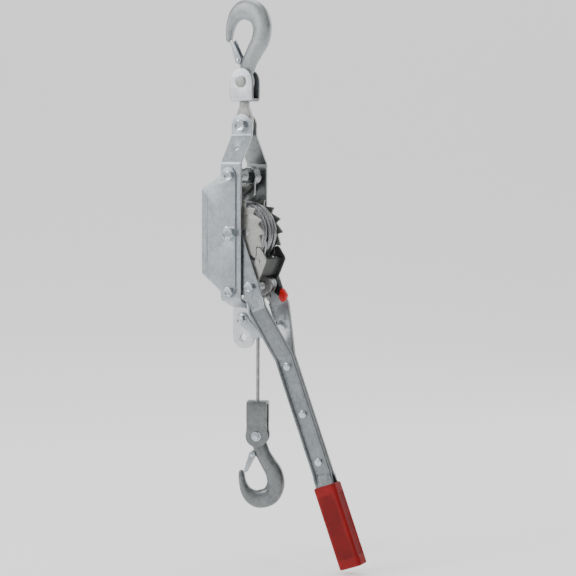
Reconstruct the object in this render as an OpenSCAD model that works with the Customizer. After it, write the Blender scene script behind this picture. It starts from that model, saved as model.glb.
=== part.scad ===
// Come along winch: hand ratchet cable puller with a swivel top hook,
// a ratchet drum of wire rope, a lever handle and a lower hook.
// Millimetres. +Z is the line of pull, Y is the drum axle, the handle swings out on +X.

/* [Frame] */
// Width of the side straps
strap_w = 30; // [24:1:40]
// Thickness of the side straps
strap_t = 3; // [2:0.5:5]
// Distance across the outer faces of the side straps
frame_w = 64; // [56:1:80]
// Height of the top rivet above the drum axle
rivet_up = 190; // [180:1:210]
// Height of the ear bolt above the drum axle
ear_up = 135; // [130:1:145]
// Height of the upper spacer bolt above the drum axle
upper_bolt_up = 72; // [66:1:80]
// Depth of the lower spacer bolt below the drum axle
lower_bolt_down = 74; // [66:1:80]
// Diameter of the anchor hole in the bottom tab
anchor_d = 10.8; // [8:0.2:14]

/* [Drum and ratchet] */
// Teeth on each ratchet wheel
teeth = 16; // [12:1:20]
// Tip radius of the ratchet wheels
tip_r = 44; // [38:0.5:50]
// Root radius of the ratchet wheels
root_r = 36.8; // [32:0.2:44]
// Thickness of the ratchet wheels
wheel_t = 3.2; // [2:0.2:5]
// Radius of the drum core
core_r = 25.5; // [18:0.5:30]
// Diameter of the wire rope
rope_d = 4.76; // [3:0.01:8]
// Turns of rope in each full layer
turns = 8; // [4:1:9]

/* [Handle] */
// Angle of the handle from the line of pull
handle_angle = 21.5; // [10:0.5:120]
// Width of the handle
handle_w = 26; // [20:1:34]
// Sheet thickness of the handle
handle_t = 2.6; // [2:0.1:4]
// Distance from the axle to the end of the grip
handle_len = 442; // [350:1:520]
// Length of the grip
grip_len = 106; // [90:1:140]

/* [Hooks] */
// Distance from the top hook's bowl to its rivet
seat_up = 77; // [60:1:90]
// Size of the lower hook against the top hook
low_scale = 0.92; // [0.8:0.01:1]
// Turn of the lower hook about the rope
low_yaw = 20; // [0:1:90]
// Distance from the axle to the top of the lower clevis
low_clevis_down = 215; // [190:1:400]

/* [Hidden] */
$fn = 48;
axle_z = -(seat_up + rivet_up);
fo = frame_w / 2;
fi = fo - strap_t;
sw = strap_w / 2;
ear_i = 3.95;
ear_o = ear_i + strap_t;
arm_o = fi - 1.2;
arm_i = arm_o - handle_t;
wh_o = arm_i - 1.5;
wh_i = wh_o - wheel_t;
rope_x = 21;
guide_z = -128;
pivot_u = 72;
px = pivot_u * sin(handle_angle);
pz = -pivot_u * cos(handle_angle);
hp_z = upper_bolt_up;
low_pin_z = -low_clevis_down - 45;

// ---------- helpers ----------
module plateXZ(y0, y1) translate([0, y1, 0]) rotate([90, 0, 0]) linear_extrude(height = y1 - y0) children();
module alongX(x0, x1) translate([x0, 0, 0]) rotate([90, 0, 90]) linear_extrude(height = x1 - x0) children();
module rodY(r, y0, y1, x = 0, z = 0) translate([x, y0, z]) rotate([-90, 0, 0]) cylinder(r = r, h = y1 - y0);
module hexY(r, y0, y1, x = 0, z = 0, a = 0) translate([x, y0, z]) rotate([-90, a, 0]) cylinder(r = r, h = y1 - y0, $fn = 6);
module at_axle() translate([0, 0, axle_z]) children();
module at_handle() at_axle() rotate([0, -handle_angle, 0]) children();

function unit(v) = v / norm(v);
function corner(a, b, c, r, n) =
  let (u = unit(a - b), w = unit(c - b), h = acos(max(-1, min(1, u * w))) / 2,
       d = r / tan(h), m = b + unit(u + w) * (r / sin(h)), s = b + u * d, e = b + w * d,
       a0 = atan2(s[1] - m[1], s[0] - m[0]), a1r = atan2(e[1] - m[1], e[0] - m[0]) - a0,
       a1 = a1r > 180 ? a1r - 360 : (a1r < -180 ? a1r + 360 : a1r))
  [for (i = [0 : n]) m + r * [cos(a0 + a1 * i / n), sin(a0 + a1 * i / n)]];
function fillet(p, r, n = 4) = concat([p[0]],
  [for (i = [1 : len(p) - 2]) each corner(p[i - 1], p[i], p[i + 1], r, n)], [p[len(p) - 1]]);
function nrm(p, i) = let (a = p[max(0, i - 1)], b = p[min(len(p) - 1, i + 1)], d = unit(b - a)) [-d[1], d[0]];
function band(p, t0, t1) = concat([for (i = [0 : len(p) - 1]) p[i] + nrm(p, i) * t1],
  [for (i = [len(p) - 1 : -1 : 0]) p[i] + nrm(p, i) * t0]);

// Closed sweep: st is a list of [x, z, half width in plane, half width across], n points a ring.
module sweep(st, n = 16) {
  k = len(st);
  dirs = [for (i = [0 : k - 1]) let (a = st[max(0, i - 1)], b = st[min(k - 1, i + 1)]) unit([b[0] - a[0], b[1] - a[1]])];
  pts = [for (i = [0 : k - 1]) for (j = [0 : n - 1]) let (c = cos(360 * j / n), s = sin(360 * j / n), q = dirs[i])
    [st[i][0] + q[1] * c * st[i][2], s * st[i][3], st[i][1] - q[0] * c * st[i][2]]];
  faces = concat([[for (j = [0 : n - 1]) j]], [[for (j = [n - 1 : -1 : 0]) (k - 1) * n + j]],
    [for (i = [0 : k - 2]) for (j = [0 : n - 1]) [i * n + j, (i + 1) * n + j, (i + 1) * n + (j + 1) % n, i * n + (j + 1) % n]]);
  polyhedron(points = pts, faces = faces, convexity = 6);
}
// Cubic through the stations, m steps a span.
function cr(a, b, c, d, t) = 0.5 * ((2 * b) + (c - a) * t + (2 * a - 5 * b + 4 * c - d) * t * t + (3 * b - a - 3 * c + d) * t * t * t);
function smooth(p, m) = concat([for (i = [0 : len(p) - 2]) for (j = [0 : m - 1])
  cr(p[max(0, i - 1)], p[i], p[i + 1], p[min(len(p) - 1, i + 2)], j / m)], [p[len(p) - 1]]);
// Helical wire along Y, centred on [0, 0].
module coilY(r, w, y0, y1, n, a0 = 0, s = 12, m = 6, dr = 0) {
  k = floor(n * s);
  pts = [for (i = [0 : k]) for (j = [0 : m - 1]) let (a = a0 + 360 * i / s, q = 360 * j / m, rr = r + dr * i / k + w * cos(q))
    [rr * cos(a), y0 + (y1 - y0) * i / k + w * sin(q), rr * sin(a)]];
  faces = concat([[for (j = [0 : m - 1]) j]], [[for (j = [m - 1 : -1 : 0]) k * m + j]],
    [for (i = [0 : k - 1]) for (j = [0 : m - 1]) [i * m + j, (i + 1) * m + j, (i + 1) * m + (j + 1) % m, i * m + (j + 1) % m]]);
  polyhedron(points = pts, faces = faces, convexity = 10);
}
module rod(a, b, r) {
  v = b - a; l = norm(v);
  translate(a) rotate([0, acos(v[2] / l), atan2(v[1], v[0])]) cylinder(r = r, h = l);
}

// ---------- hooks ----------
hook_st = [[-23.4, 51, 3.2, 4.4], [-22.8, 56, 4.2, 5.6], [-21.2, 67.5, 5.2, 6.6], [-16.4, 79.5, 7.6, 7.6], [-7.6, 87.6, 10.8, 8.6],
  [3.4, 90, 13, 9.2], [18, 84.6, 13.2, 9.2], [26, 69, 12.6, 9.2], [23.4, 52, 12, 8.8], [16.2, 39.8, 11.2, 8.2],
  [8.6, 27, 10.4, 6.9], [3.6, 15, 10.6, 4.9], [1, 6, 9, 4.7]];
module hook_body(k) {
  st = smooth([for (s = hook_st) s * k], 2);
  difference() {
    union() {
      sweep(st, 16);
      rodY(14 * k, -5.4 * k, 5.4 * k);
      difference() {
        plateXZ(-3, 3) union() {
          translate([-7 * k, 27 * k]) circle(r = 3.8 * k);
          polygon([[-8.6 * k, 23.4 * k], [4 * k, 16 * k], [8 * k, 27 * k], [-6 * k, 30.7 * k]]);
        }
        rodY(1.9, -4, 4, -7 * k, 27 * k);
      }
    }
    rodY(5.06, -12, 12);
  }
}
// Latch: two flanks and a rounded web, seen in the hook's plane.
module latch_body(k) {
  difference() {
    plateXZ(-5.2, 5.2) hull() {
      translate([-7 * k, 27 * k]) circle(r = 4.6 * k);
      translate([-16.6 * k, 51 * k]) circle(r = 2.1 * k);
    }
    plateXZ(-3.9, 3.9) polygon([[-4 * k, 20 * k], [-10.2 * k, 20.6 * k], [-18.6 * k + 1.2, 48 * k], [-13.6 * k, 55 * k], [4 * k, 34 * k]]);
    rodY(1.95, -8, 8, -7 * k, 27 * k);
  }
}
module latch_pin_body(k) union() {
  rodY(1.85, -6, 6, -7 * k, 27 * k);
  rodY(2.7, -6.4, -5.6, -7 * k, 27 * k);
  rodY(2.7, 5.6, 6.4, -7 * k, 27 * k);
}
module latch_spring_body(k) translate([-7 * k, 0, 27 * k]) coilY(2.9, 0.35, 3.35, 3.62, 0.9, 20, 16, 6);

module top_hook() color([0.74, 0.76, 0.77]) translate([0, 0, -seat_up]) hook_body(1);
module top_latch() color([0.78, 0.8, 0.8]) translate([0, 0, -seat_up]) latch_body(1);
module top_latch_pin() color([0.7, 0.7, 0.7]) translate([0, 0, -seat_up]) latch_pin_body(1);
module top_latch_spring() color([0.5, 0.5, 0.5]) translate([0, 0, -seat_up]) latch_spring_body(1);
module top_hook_rivet() color([0.6, 0.6, 0.61]) at_axle() union() {
  rodY(5, -10.2, 10.2, 0, rivet_up);
  rodY(7.2, -12.4, -9.9, 0, rivet_up);
  rodY(7.2, 9.9, 12.4, 0, rivet_up);
}
module top_clevis() color([0.72, 0.75, 0.77]) at_axle() difference() {
  intersection() {
    alongX(-17, 17) polygon(band(fillet([[-7.7, rivet_up + 20], [-7.7, rivet_up - 23], [7.7, rivet_up - 23], [7.7, rivet_up + 20]], 4, 5), -2, 2));
    plateXZ(-20, 20) union() {
      translate([0, rivet_up]) circle(r = 17);
      translate([-17, rivet_up - 26]) square([34, 26]);
    }
  }
  rodY(5.05, -20, 20, 0, rivet_up);
  translate([0, 0, rivet_up - 30]) cylinder(r = 4.45, h = 12);
}
module swivel_stud() color([0.66, 0.66, 0.64]) at_axle() difference() {
  union() {
    translate([0, 0, rivet_up - 18.9]) cylinder(r = 5.5, h = 3.6);
    translate([0, 0, rivet_up - 29.4]) cylinder(r = 4.4, h = 11);
    translate([0, 0, rivet_up - 29.4]) cylinder(r = 6.6, h = 4);
    plateXZ(-3.6, 3.6) union() {
      translate([0, ear_up]) circle(r = 13);
      polygon([[-5.6, rivet_up - 28.5], [-11, ear_up + 13], [-12.9, ear_up + 2], [12.9, ear_up + 2], [11, ear_up + 13], [5.6, rivet_up - 28.5]]);
    }
  }
  rodY(5.06, -6, 6, 0, ear_up);
}

// ---------- frame ----------
module bolt(r, hr, ht, y0, y1, z, x = 0, a = 15) union() {
  rodY(r, y0 - 0.5, y1 + ht + 2, x, z);
  hexY(hr, y0 - ht, y0 - 0.05, x, z, a);
  hexY(hr, y1 + 0.05, y1 + ht + 0.6, x, z, a + 10);
}
module ear_bolt() color([0.75, 0.78, 0.79]) at_axle() bolt(5, 8.4, 6.4, -ear_o, ear_o, ear_up);
module side_plate(vent) difference() {
  intersection() {
    alongX(-sw, sw) polygon(band(fillet([[ear_i + 1.5, ear_up + 20], [ear_i + 1.5, 122.6], [fi + 1.5, 87.5], [fi + 1.5, -84], [1.6, -95.6], [1.6, -160]], 4, 4), -1.5, 1.5));
    plateXZ(-1, 60) union() {
      translate([0, ear_up]) circle(r = sw);
      translate([-sw, -78]) square([strap_w, ear_up + 78]);
      translate([-sw, -135]) square([strap_w, 50]);
      translate([0, -134]) circle(r = sw);
      translate([-sw + 5, -90]) square([strap_w - 10, 20]);
      translate([-sw, -82]) square([strap_w, 10]);
    }
  }
  rodY(5.05, -5, 60, 0, ear_up);
  rodY(5.05, -5, 60);
  rodY(4.05, -5, 60, 0, upper_bolt_up);
  rodY(4.05, -5, 60, 0, -lower_bolt_down);
  rodY(4.05, -5, 60, 0, -111);
  rodY(anchor_d / 2, -5, 60, 0, -135);
  if (vent) translate([0, 20, 105]) rotate([-36, 0, 0]) translate([0, -20, 0]) rodY(3.2, 0, 40);
}
module far_side_plate() color([0.6, 0.64, 0.66]) at_axle() side_plate(false);
module near_side_plate() color([0.74, 0.77, 0.79]) at_axle() mirror([0, 1, 0]) side_plate(true);
module guard_half() difference() {
  intersection() {
    union() {
      plateXZ(-fo - 2.1, -fo - 0.1) polygon([[8, 66], [8, -68], [4, -77], [0, -82], [-6, -82], [-11.5, -77], [-17, -71], [-42, -52], [-42, 55], [-15, 71], [-12, 78], [-6, 82.5], [2, 82.5], [7, 77]]);
      translate([-42.5, -fo - 2.1, -51.5]) cube([2, 7.6, 106]);
    }
    translate([-42.5, -fo - 3, -90]) cube([60, 12, 180]);
  }
  rodY(5.05, -60, 0);
  rodY(4.05, -60, 0, 0, upper_bolt_up);
  rodY(4.05, -60, 0, 0, -lower_bolt_down);
}
module drum_guard() color([0.72, 0.75, 0.77]) at_axle() guard_half();
module far_guard() color([0.5, 0.53, 0.55]) at_axle() mirror([0, 1, 0]) guard_half();
module axle_bolt() color([0.78, 0.8, 0.82]) at_axle() union() {
  rodY(5, -fo - 3, fo + 10);
  hexY(9.6, -fo - 9, -fo - 2.15, 0, 0, 12);
  hexY(9.4, fo + 2.15, fo + 10, 0, 0, 20);
}
module axle_washers() color([0.6, 0.6, 0.6]) at_axle() difference() {
  union() {
    rodY(9.5, wh_o + 0.25, arm_i - 0.25);
    rodY(9.5, -arm_i + 0.25, -wh_o - 0.25);
    rodY(9.5, arm_o + 0.1, fi - 0.05);
    rodY(9.5, -fi + 0.05, -arm_o - 0.1);
  }
  rodY(5.02, -60, 60);
}
module upper_spacer_bolt() color([0.78, 0.8, 0.82]) at_axle() union() {
  rodY(4, -fo - 3, fo + 10, 0, upper_bolt_up);
  hexY(6.9, -fo - 7.4, -fo - 2.15, 0, upper_bolt_up, 8);
  hexY(6.9, fo + 2.15, fo + 8.2, 0, upper_bolt_up, 25);
}
module lower_spacer_bolt() color([0.78, 0.8, 0.82]) at_axle() union() {
  rodY(4, -fo - 3, fo + 10, 0, -lower_bolt_down);
  hexY(6.9, -fo - 7.4, -fo - 2.15, 0, -lower_bolt_down, 22);
  hexY(6.9, fo + 2.15, fo + 8.2, 0, -lower_bolt_down, 4);
}
module spacer(z, r) difference() {
  rodY(r, -fi + 0.05, fi - 0.05, 0, z);
  rodY(4.05, -60, 60, 0, z);
}
module upper_spacer_tube() color([0.5, 0.5, 0.5]) at_axle() union() {
  spacer(upper_bolt_up, 5);
  difference() {
    rodY(9.2, 8.4, 19.6, 0, upper_bolt_up);
    rodY(4.9, -60, 60, 0, upper_bolt_up);
  }
}
module lower_spacer_tube() color([0.6, 0.6, 0.6]) at_axle() spacer(-lower_bolt_down, 6.2);
gs = [0.766, -0.643];
module cable_guide() color([0.74, 0.76, 0.76]) at_axle() difference() {
  union() {
    plateXZ(-5.75, -3.2) union() {
      translate([0, -111]) circle(r = 8.6);
      polygon([[5.5, -104.4], [30.6, -125.5], [24.4, -136.2], [-5.5, -117.6]]);
    }
    plateXZ(-5.75, 7) polygon([[30.6, -125.5], [24.4, -136.2], [26.4, -137.4], [32.6, -126.7]]);
  }
  rodY(4.05, -20, 20, 0, -111);
}
module guide_bolt() color([0.78, 0.8, 0.82]) at_axle() union() {
  rodY(4, -6.5, 12, 0, -111);
  rodY(6, -11.5, -5.8, 0, -111);
  hexY(6.9, 3.2, 9.4, 0, -111, 10);
}

// ---------- ratchet pawls ----------
// The holding pawl hangs from the upper spacer and reaches the wheels on the -X side.
hp = 3.2;
module seated() translate([0, hp_z]) rotate(-6) translate([0, -hp_z]) children();
module finger() seated() union() {
  translate([0, hp_z]) circle(r = 8);
  polygon([[5.4, hp_z - 5.6], [-1, 55.6], [-8, 49], [-16, 43.4], [-25, 39.6], [-31.6, 33], [-34.1, 29.8], [-34.8, 23.6], [-34.8, 17.6], [-38.6, 18.4], [-43, 22.4], [-43.6, 28], [-38, 38.4],
    [-28, 49], [-16, 61.6], [-7.4, hp_z + 2.6]]);
}
module holding_pawl() color([0.62, 0.62, 0.6]) at_axle() difference() {
  union() {
    plateXZ(wh_i + 0.2, wh_o - 0.2) finger();
    plateXZ(-wh_o + 0.2, -wh_i - 0.2) finger();
    plateXZ(-wh_o + 0.3, wh_o - 0.3) seated() polygon([[-19, 57.4], [-32.4, 43.6], [-30.6, 41.8], [-17.2, 55.6]]);
  }
  rodY(5.06, -60, 60, 0, hp_z);
}
module holding_pawl_spring() color([0.3, 0.3, 0.3]) at_axle() translate([0, 0, hp_z]) coilY(8.3, 1, -wh_i + 1.6, -3.6, 6.5, 0, 12, 6);
module pawl_return_spring() color([0.45, 0.45, 0.45]) at_axle() union() {
  translate([0, 0, hp_z]) coilY(10.5, 1.12, 9.4, 19.2, 4, 0, 14, 6, 1.9);
  rod([10.5, 9.4, hp_z], [9.2, 9.4, 47], 1.12);
}
module pawl_side() union() {
  translate([px, pz]) circle(r = 9);
  polygon([[px - 8.8, pz + 2], [26.6, -44], [29.4, -34.6], [31.3, -31.7], [33.2, -26.5], [33, -18.8], [36, -16.8], [39.5, -19.2], [47.4, -31], [47.6, -34.2], [40.6, -50], [36.6, -58], [px + 8.6, pz - 2.6]]);
}
module drive_pawl() color([0.7, 0.7, 0.68]) at_axle() difference() {
  union() {
    plateXZ(-wh_o + 0.1, -wh_i - 0.1) pawl_side();
    plateXZ(wh_i + 0.1, wh_o - 0.1) pawl_side();
    plateXZ(-wh_o + 0.1, wh_o - 0.1) polygon([[40.7, -31.1], [43.1, -32.2], [36.1, -48], [33, -53.8], [30.6, -52.6], [33.7, -46.9]]);
    plateXZ(wh_i + 0.1, wh_o - 0.1) polygon([[px + 4, pz - 8.2], [px + 8.4, pz + 2], [44, -70.6], [49.4, -77.6], [44, -86], [37.4, -80.4]]);
  }
  rodY(4.06, -60, 60, px, pz);
  rodY(3.1, -60, 60, 34.6, -34.6);
}
module pawl_cross_pin() color([0.5, 0.5, 0.5]) at_axle() union() {
  rodY(3, -wh_o - 0.35, wh_o + 0.35, 34.6, -34.6);
}
module release_cap() color([0.85, 0.07, 0.05]) at_axle() translate([0, (wh_i + wh_o) / 2, 0]) difference() {
  hull() {
    translate([43.9, 0, -75]) rotate([90, 0, 0]) cylinder(r = 4.4, h = 5, center = true, $fn = 32);
    translate([47.8, 0, -81.2]) rotate([90, 0, 0]) cylinder(r = 5, h = 5.4, center = true, $fn = 32);
    translate([42.9, 0, -85.4]) rotate([90, 0, 0]) cylinder(r = 3.8, h = 5, center = true, $fn = 32);
  }
  plateXZ(-wheel_t / 2 + 0.08, wheel_t / 2 - 0.08) polygon([[px + 4, pz - 8.2], [px + 8.4, pz + 2], [44, -70.6], [49.42, -77.58], [44, -86.04], [37.38, -80.4]]);
}
module drive_pawl_sleeve() color([0.4, 0.42, 0.43]) at_axle() difference() {
  union() {
    rodY(12.3, 3.6, 17.5, px, pz);
    plateXZ(6.4, 9.6) polygon([[px - 5, pz - 6], [px + 6, pz - 6], [34.6, -80], [32, -83.4], [28, -82]]);
    translate([31.4, 8, -81.4]) sphere(r = 3.5, $fn = 24);
  }
  rodY(4.06, -60, 60, px, pz);
}
module drive_pawl_spring() color([0.6, 0.6, 0.6]) at_axle() translate([px, 0, pz]) union() {
  coilY(6.4, 0.9, -18.8, -3.8, 7, 30, 12, 6);
}
module drive_pawl_bolt() color([0.78, 0.8, 0.82]) at_axle() difference() {
  union() {
    rodY(4, -arm_o - 1, arm_o + 6, px, pz);
    hexY(6.9, -arm_o - 5.2, -arm_o - 0.05, px, pz, 18);
    hexY(6.9, arm_o + 0.05, arm_o + 5, px, pz, 3);
  }
}
module link_spring() color([0.8, 0.8, 0.8]) at_axle() rotate([0, 0, 0]) union() {
  rod([32.1, 8, -85.2], [33.6, 7.6, -89.6], 0.8);
  rod([33.4, 7.6, -89], [40.7, 6.4, -108.6], 1.9);
  rod([40.6, 6.4, -108.4], [42.5, 6.2, -110.9], 0.8);
}

// ---------- drum ----------
module wheel_shape() polygon([for (i = [0 : teeth - 1]) let (a = -i * 360 / teeth, s = 360 / teeth)
  each [[(root_r + 0.6) * cos(a + s - 6.4), (root_r + 0.6) * sin(a + s - 6.4)],
        [(root_r + 2.4) * cos(a + s * 0.5), (root_r + 2.4) * sin(a + s * 0.5)],
        [(tip_r - 1.6) * cos(a + 4.2), (tip_r - 1.6) * sin(a + 4.2)],
        [tip_r * cos(a + 1.1), tip_r * sin(a + 1.1)],
        [tip_r * cos(a), tip_r * sin(a)],
        [(root_r + 1.4) * cos(a - 2.4), (root_r + 1.4) * sin(a - 2.4)],
        [root_r * cos(a - 4.2), root_r * sin(a - 4.2)]]]);
module wheel(y0, y1) difference() {
  plateXZ(y0, y1) wheel_shape();
  rodY(5.06, -60, 60);
  for (a = [5 : 120 : 245]) rodY(3.05, -60, 60, 18 * cos(a), 18 * sin(a));
}
module near_ratchet_wheel() color([0.8, 0.8, 0.76]) at_axle() wheel(-wh_o, -wh_i);
module far_ratchet_wheel() color([0.68, 0.68, 0.66]) at_axle() wheel(wh_i, wh_o);
module drum_core() color([0.5, 0.5, 0.5]) at_axle() difference() {
  rodY(core_r, -wh_i + 0.05, wh_i - 0.05);
  rodY(5.06, -60, 60);
  for (a = [5 : 120 : 245]) rodY(3.05, -60, 60, 18 * cos(a), 18 * sin(a));
}
module drum_rivets() color([0.6, 0.6, 0.6]) at_axle() for (a = [5 : 120 : 245]) union() {
  rodY(3, -wh_o - 0.2, wh_o + 0.2, 18 * cos(a), 18 * sin(a));
  rodY(4.4, -wh_o - 0.9, -wh_o - 0.05, 18 * cos(a), 18 * sin(a));
  rodY(4.4, wh_o + 0.05, wh_o + 0.9, 18 * cos(a), 18 * sin(a));
}
module rope_on_drum() color([0.66, 0.67, 0.68]) at_axle() rotate([-90, 0, 0]) rotate_extrude($fn = 64) union() {
  translate([core_r + 0.1, -turns * 2.475]) square([rope_d * 1.36, turns * 4.95]);
  for (i = [0 : turns - 1]) translate([core_r + 0.1 + rope_d * 1.36, (i - (turns - 1) / 2) * 4.95]) circle(r = 2.46, $fn = 24);
  for (y = [-12.4, -1.1, 4.2, 9.5, 14.8]) translate([core_r + 0.1 + rope_d * 2.22, y]) circle(r = 2.38, $fn = 24);
}
module rope_span() color([0.6, 0.61, 0.62]) at_axle() union() {
  rod([36.1, -7, -10.6], [24.6, 0, -48], rope_d / 2);
  translate([24.6, 0, -48]) sphere(r = rope_d / 2 + 0.04, $fn = 24);
  rod([24.6, 0, -48], [19.2, 0, -66], rope_d / 2);
  translate([19.2, 0, -66]) sphere(r = rope_d / 2 + 0.04, $fn = 24);
  rod([19.2, 0, -66], [rope_x, 0, guide_z], rope_d / 2);
}

// ---------- handle ----------
h_path = [[arm_o - handle_t / 2, 26], [arm_o - handle_t / 2, -102], [handle_t / 2 + 0.1, -168], [handle_t / 2 + 0.1, -322], [6.4, -340], [6.4, 6 - handle_len]];
rib_path = [[arm_o - handle_t / 2, -90], [arm_o - handle_t / 2, -102], [handle_t / 2 + 0.1, -168], [handle_t / 2 + 0.1, -322], [4.4, -333]];
module handle_half(pin) difference() {
  union() {
    intersection() {
      alongX(-handle_w / 2, handle_w / 2) polygon(band(fillet(h_path, 14, 3), -handle_t / 2, handle_t / 2));
      plateXZ(-1, 60) union() {
        translate([0, 9]) circle(r = handle_w / 2);
        translate([-handle_w / 2, -handle_len]) square([handle_w, handle_len + 9]);
      }
    }
    for (s = [-1, 1]) alongX(min(s * handle_w / 2, s * (handle_w / 2 - 2.6)), max(s * handle_w / 2, s * (handle_w / 2 - 2.6)))
      polygon(band(fillet(rib_path, 14, 3), -handle_t / 2, handle_t / 2 + 2.8));
  }
  rodY(5.06, -5, 60);
  rodY(4.05, -5, 60, 0, -pivot_u);
  if (pin) rodY(2.55, -5, 60, 0, -123);
  for (u = [180, 243, 306]) rodY(3.05, -5, 60, 0, -u);
}
module handle_far_half() color([0.6, 0.62, 0.63]) at_handle() handle_half(true);
module handle_near_half() color([0.68, 0.71, 0.73]) at_handle() mirror([0, 1, 0]) handle_half(false);
module handle_rivets() color([0.7, 0.72, 0.73]) at_handle() for (u = [180, 243, 306]) union() {
  rodY(3, -4, 4, 0, -u);
  rodY(5.4, -4.9, -2.75, 0, -u);
  rodY(5.4, 2.75, 4.9, 0, -u);
}
module link_anchor_pin() color([0.6, 0.6, 0.6]) at_handle() union() {
  rodY(2.5, 3.4, 20.4, 0, -123);
}
module grip_ring(h, s) translate([0, 0, -h]) linear_extrude(height = 0.02) scale(s) union() {
  square([22, 22], center = true);
  translate([0, 11]) circle(r = 1);
}
module handle_grip() color([0.82, 0.05, 0.05]) at_handle() difference() {
  union() {
    translate([0, 0, -handle_len]) linear_extrude(height = grip_len) union() {
      square([22, 22], center = true);
      square([32, 12], center = true);
      for (sx = [-1, 1]) for (sy = [-1, 1]) translate([sx * 11, sy * 6]) circle(r = 5);
    }
  }
  translate([-13.2, -8.2, 6 - handle_len]) cube([26.4, 16.4, grip_len]);
}

// ---------- rope end and lower hook ----------
module rope_lead() color([0.6, 0.61, 0.62]) at_axle() rod([rope_x, 0, -low_clevis_down - 1], [rope_x, 0, guide_z - 0.4], rope_d / 2);
module rope_ferrule() color([0.6, 0.62, 0.62]) at_axle() translate([rope_x, 0, -low_clevis_down]) difference() {
  union() {
    translate([0, 0, -14.4]) cylinder(r = 5.6, h = 9.6);
    translate([0, 0, -14.4]) cylinder(r = 3.7, h = 14.9);
  }
  translate([0, 0, -1.4]) cylinder(r = rope_d / 2 + 0.02, h = 5);
}
module at_low() at_axle() translate([rope_x, 0, 0]) rotate([0, 0, low_yaw]) children();
module lower_clevis() color([0.45, 0.46, 0.46]) at_low() difference() {
  intersection() {
    alongX(-14.4, 14.4) union() {
      polygon(band(fillet([[0, -low_clevis_down - 2], [8.6, -low_clevis_down - 2], [8.6, -low_clevis_down - 26], [7, -low_clevis_down - 31], [7, low_pin_z - 20]], 3, 4), -1.9, 1.9));
      mirror([1, 0]) polygon(band(fillet([[0, -low_clevis_down - 2], [8.6, -low_clevis_down - 2], [8.6, -low_clevis_down - 26], [7, -low_clevis_down - 31], [7, low_pin_z - 20]], 3, 4), -1.9, 1.9));
    }
    plateXZ(-30, 30) union() {
      translate([0, low_pin_z]) circle(r = 14.4);
      translate([-13, low_pin_z]) square([26, 48]);
    }
  }
  translate([0, 0, -low_clevis_down - 8]) cylinder(r = 3.85, h = 12);
  rodY(5.05, -30, 30, 0, low_pin_z);
}
module lower_hook_pin() color([0.55, 0.55, 0.55]) at_low() difference() {
  union() {
    rodY(5, -12.6, 11, 0, low_pin_z);
    rodY(6.4, 9.1, 11.6, 0, low_pin_z);
    difference() {
      rodY(6.4, -10.4, -9.2, 0, low_pin_z);
      rodY(4.9, -10.5, -9, 0, low_pin_z);
    }
  }
}
module low_place() at_low() translate([0, 0, low_pin_z]) mirror([0, 0, 1]) children();
module lower_hook() color([0.55, 0.57, 0.58]) low_place() difference() {
  hook_body(low_scale);
}
module lower_latch() color([0.6, 0.62, 0.62]) low_place() latch_body(low_scale);
module lower_latch_pin() color([0.6, 0.6, 0.6]) low_place() latch_pin_body(low_scale);
module lower_latch_spring() color([0.5, 0.5, 0.5]) low_place() latch_spring_body(low_scale);

top_hook();
top_latch();
top_latch_pin();
top_latch_spring();
top_hook_rivet();
top_clevis();
swivel_stud();
ear_bolt();
near_side_plate();
far_side_plate();
drum_guard();
far_guard();
axle_bolt();
axle_washers();
upper_spacer_bolt();
upper_spacer_tube();
lower_spacer_bolt();
lower_spacer_tube();
cable_guide();
guide_bolt();
holding_pawl();
holding_pawl_spring();
pawl_return_spring();
drum_core();
near_ratchet_wheel();
far_ratchet_wheel();
drum_rivets();
rope_on_drum();
rope_span();
handle_near_half();
handle_far_half();
handle_rivets();
handle_grip();
drive_pawl();
drive_pawl_bolt();
drive_pawl_sleeve();
drive_pawl_spring();
pawl_cross_pin();
release_cap();
link_spring();
link_anchor_pin();
rope_lead();
rope_ferrule();
lower_clevis();
lower_hook_pin();
lower_hook();
lower_latch();
lower_latch_pin();
lower_latch_spring();
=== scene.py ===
import bpy, bmesh, math
import numpy as np
from mathutils import Vector, Matrix


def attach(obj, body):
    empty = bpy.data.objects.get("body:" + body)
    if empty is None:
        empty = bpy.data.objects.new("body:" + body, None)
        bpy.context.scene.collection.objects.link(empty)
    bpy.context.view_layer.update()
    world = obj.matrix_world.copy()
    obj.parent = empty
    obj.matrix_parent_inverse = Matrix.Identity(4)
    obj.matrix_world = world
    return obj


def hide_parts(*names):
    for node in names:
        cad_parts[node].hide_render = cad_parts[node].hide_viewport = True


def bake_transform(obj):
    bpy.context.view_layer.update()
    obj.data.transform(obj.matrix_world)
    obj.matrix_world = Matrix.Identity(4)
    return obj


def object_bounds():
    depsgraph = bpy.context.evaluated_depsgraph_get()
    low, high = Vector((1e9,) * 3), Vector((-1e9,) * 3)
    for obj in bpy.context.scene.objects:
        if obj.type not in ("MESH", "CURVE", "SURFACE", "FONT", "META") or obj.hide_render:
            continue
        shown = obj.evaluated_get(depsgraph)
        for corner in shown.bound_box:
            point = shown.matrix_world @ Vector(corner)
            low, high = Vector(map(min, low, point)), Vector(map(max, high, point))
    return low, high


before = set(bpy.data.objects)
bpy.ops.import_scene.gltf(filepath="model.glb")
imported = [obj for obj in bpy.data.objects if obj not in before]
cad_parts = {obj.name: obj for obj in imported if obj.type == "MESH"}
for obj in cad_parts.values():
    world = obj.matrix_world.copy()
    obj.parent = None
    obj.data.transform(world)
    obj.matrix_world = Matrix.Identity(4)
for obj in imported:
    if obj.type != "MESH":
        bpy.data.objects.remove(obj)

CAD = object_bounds()
AX = -267.0          # drum axle, mm below the top hook's seat
RNG = np.random.RandomState(7)

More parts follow.
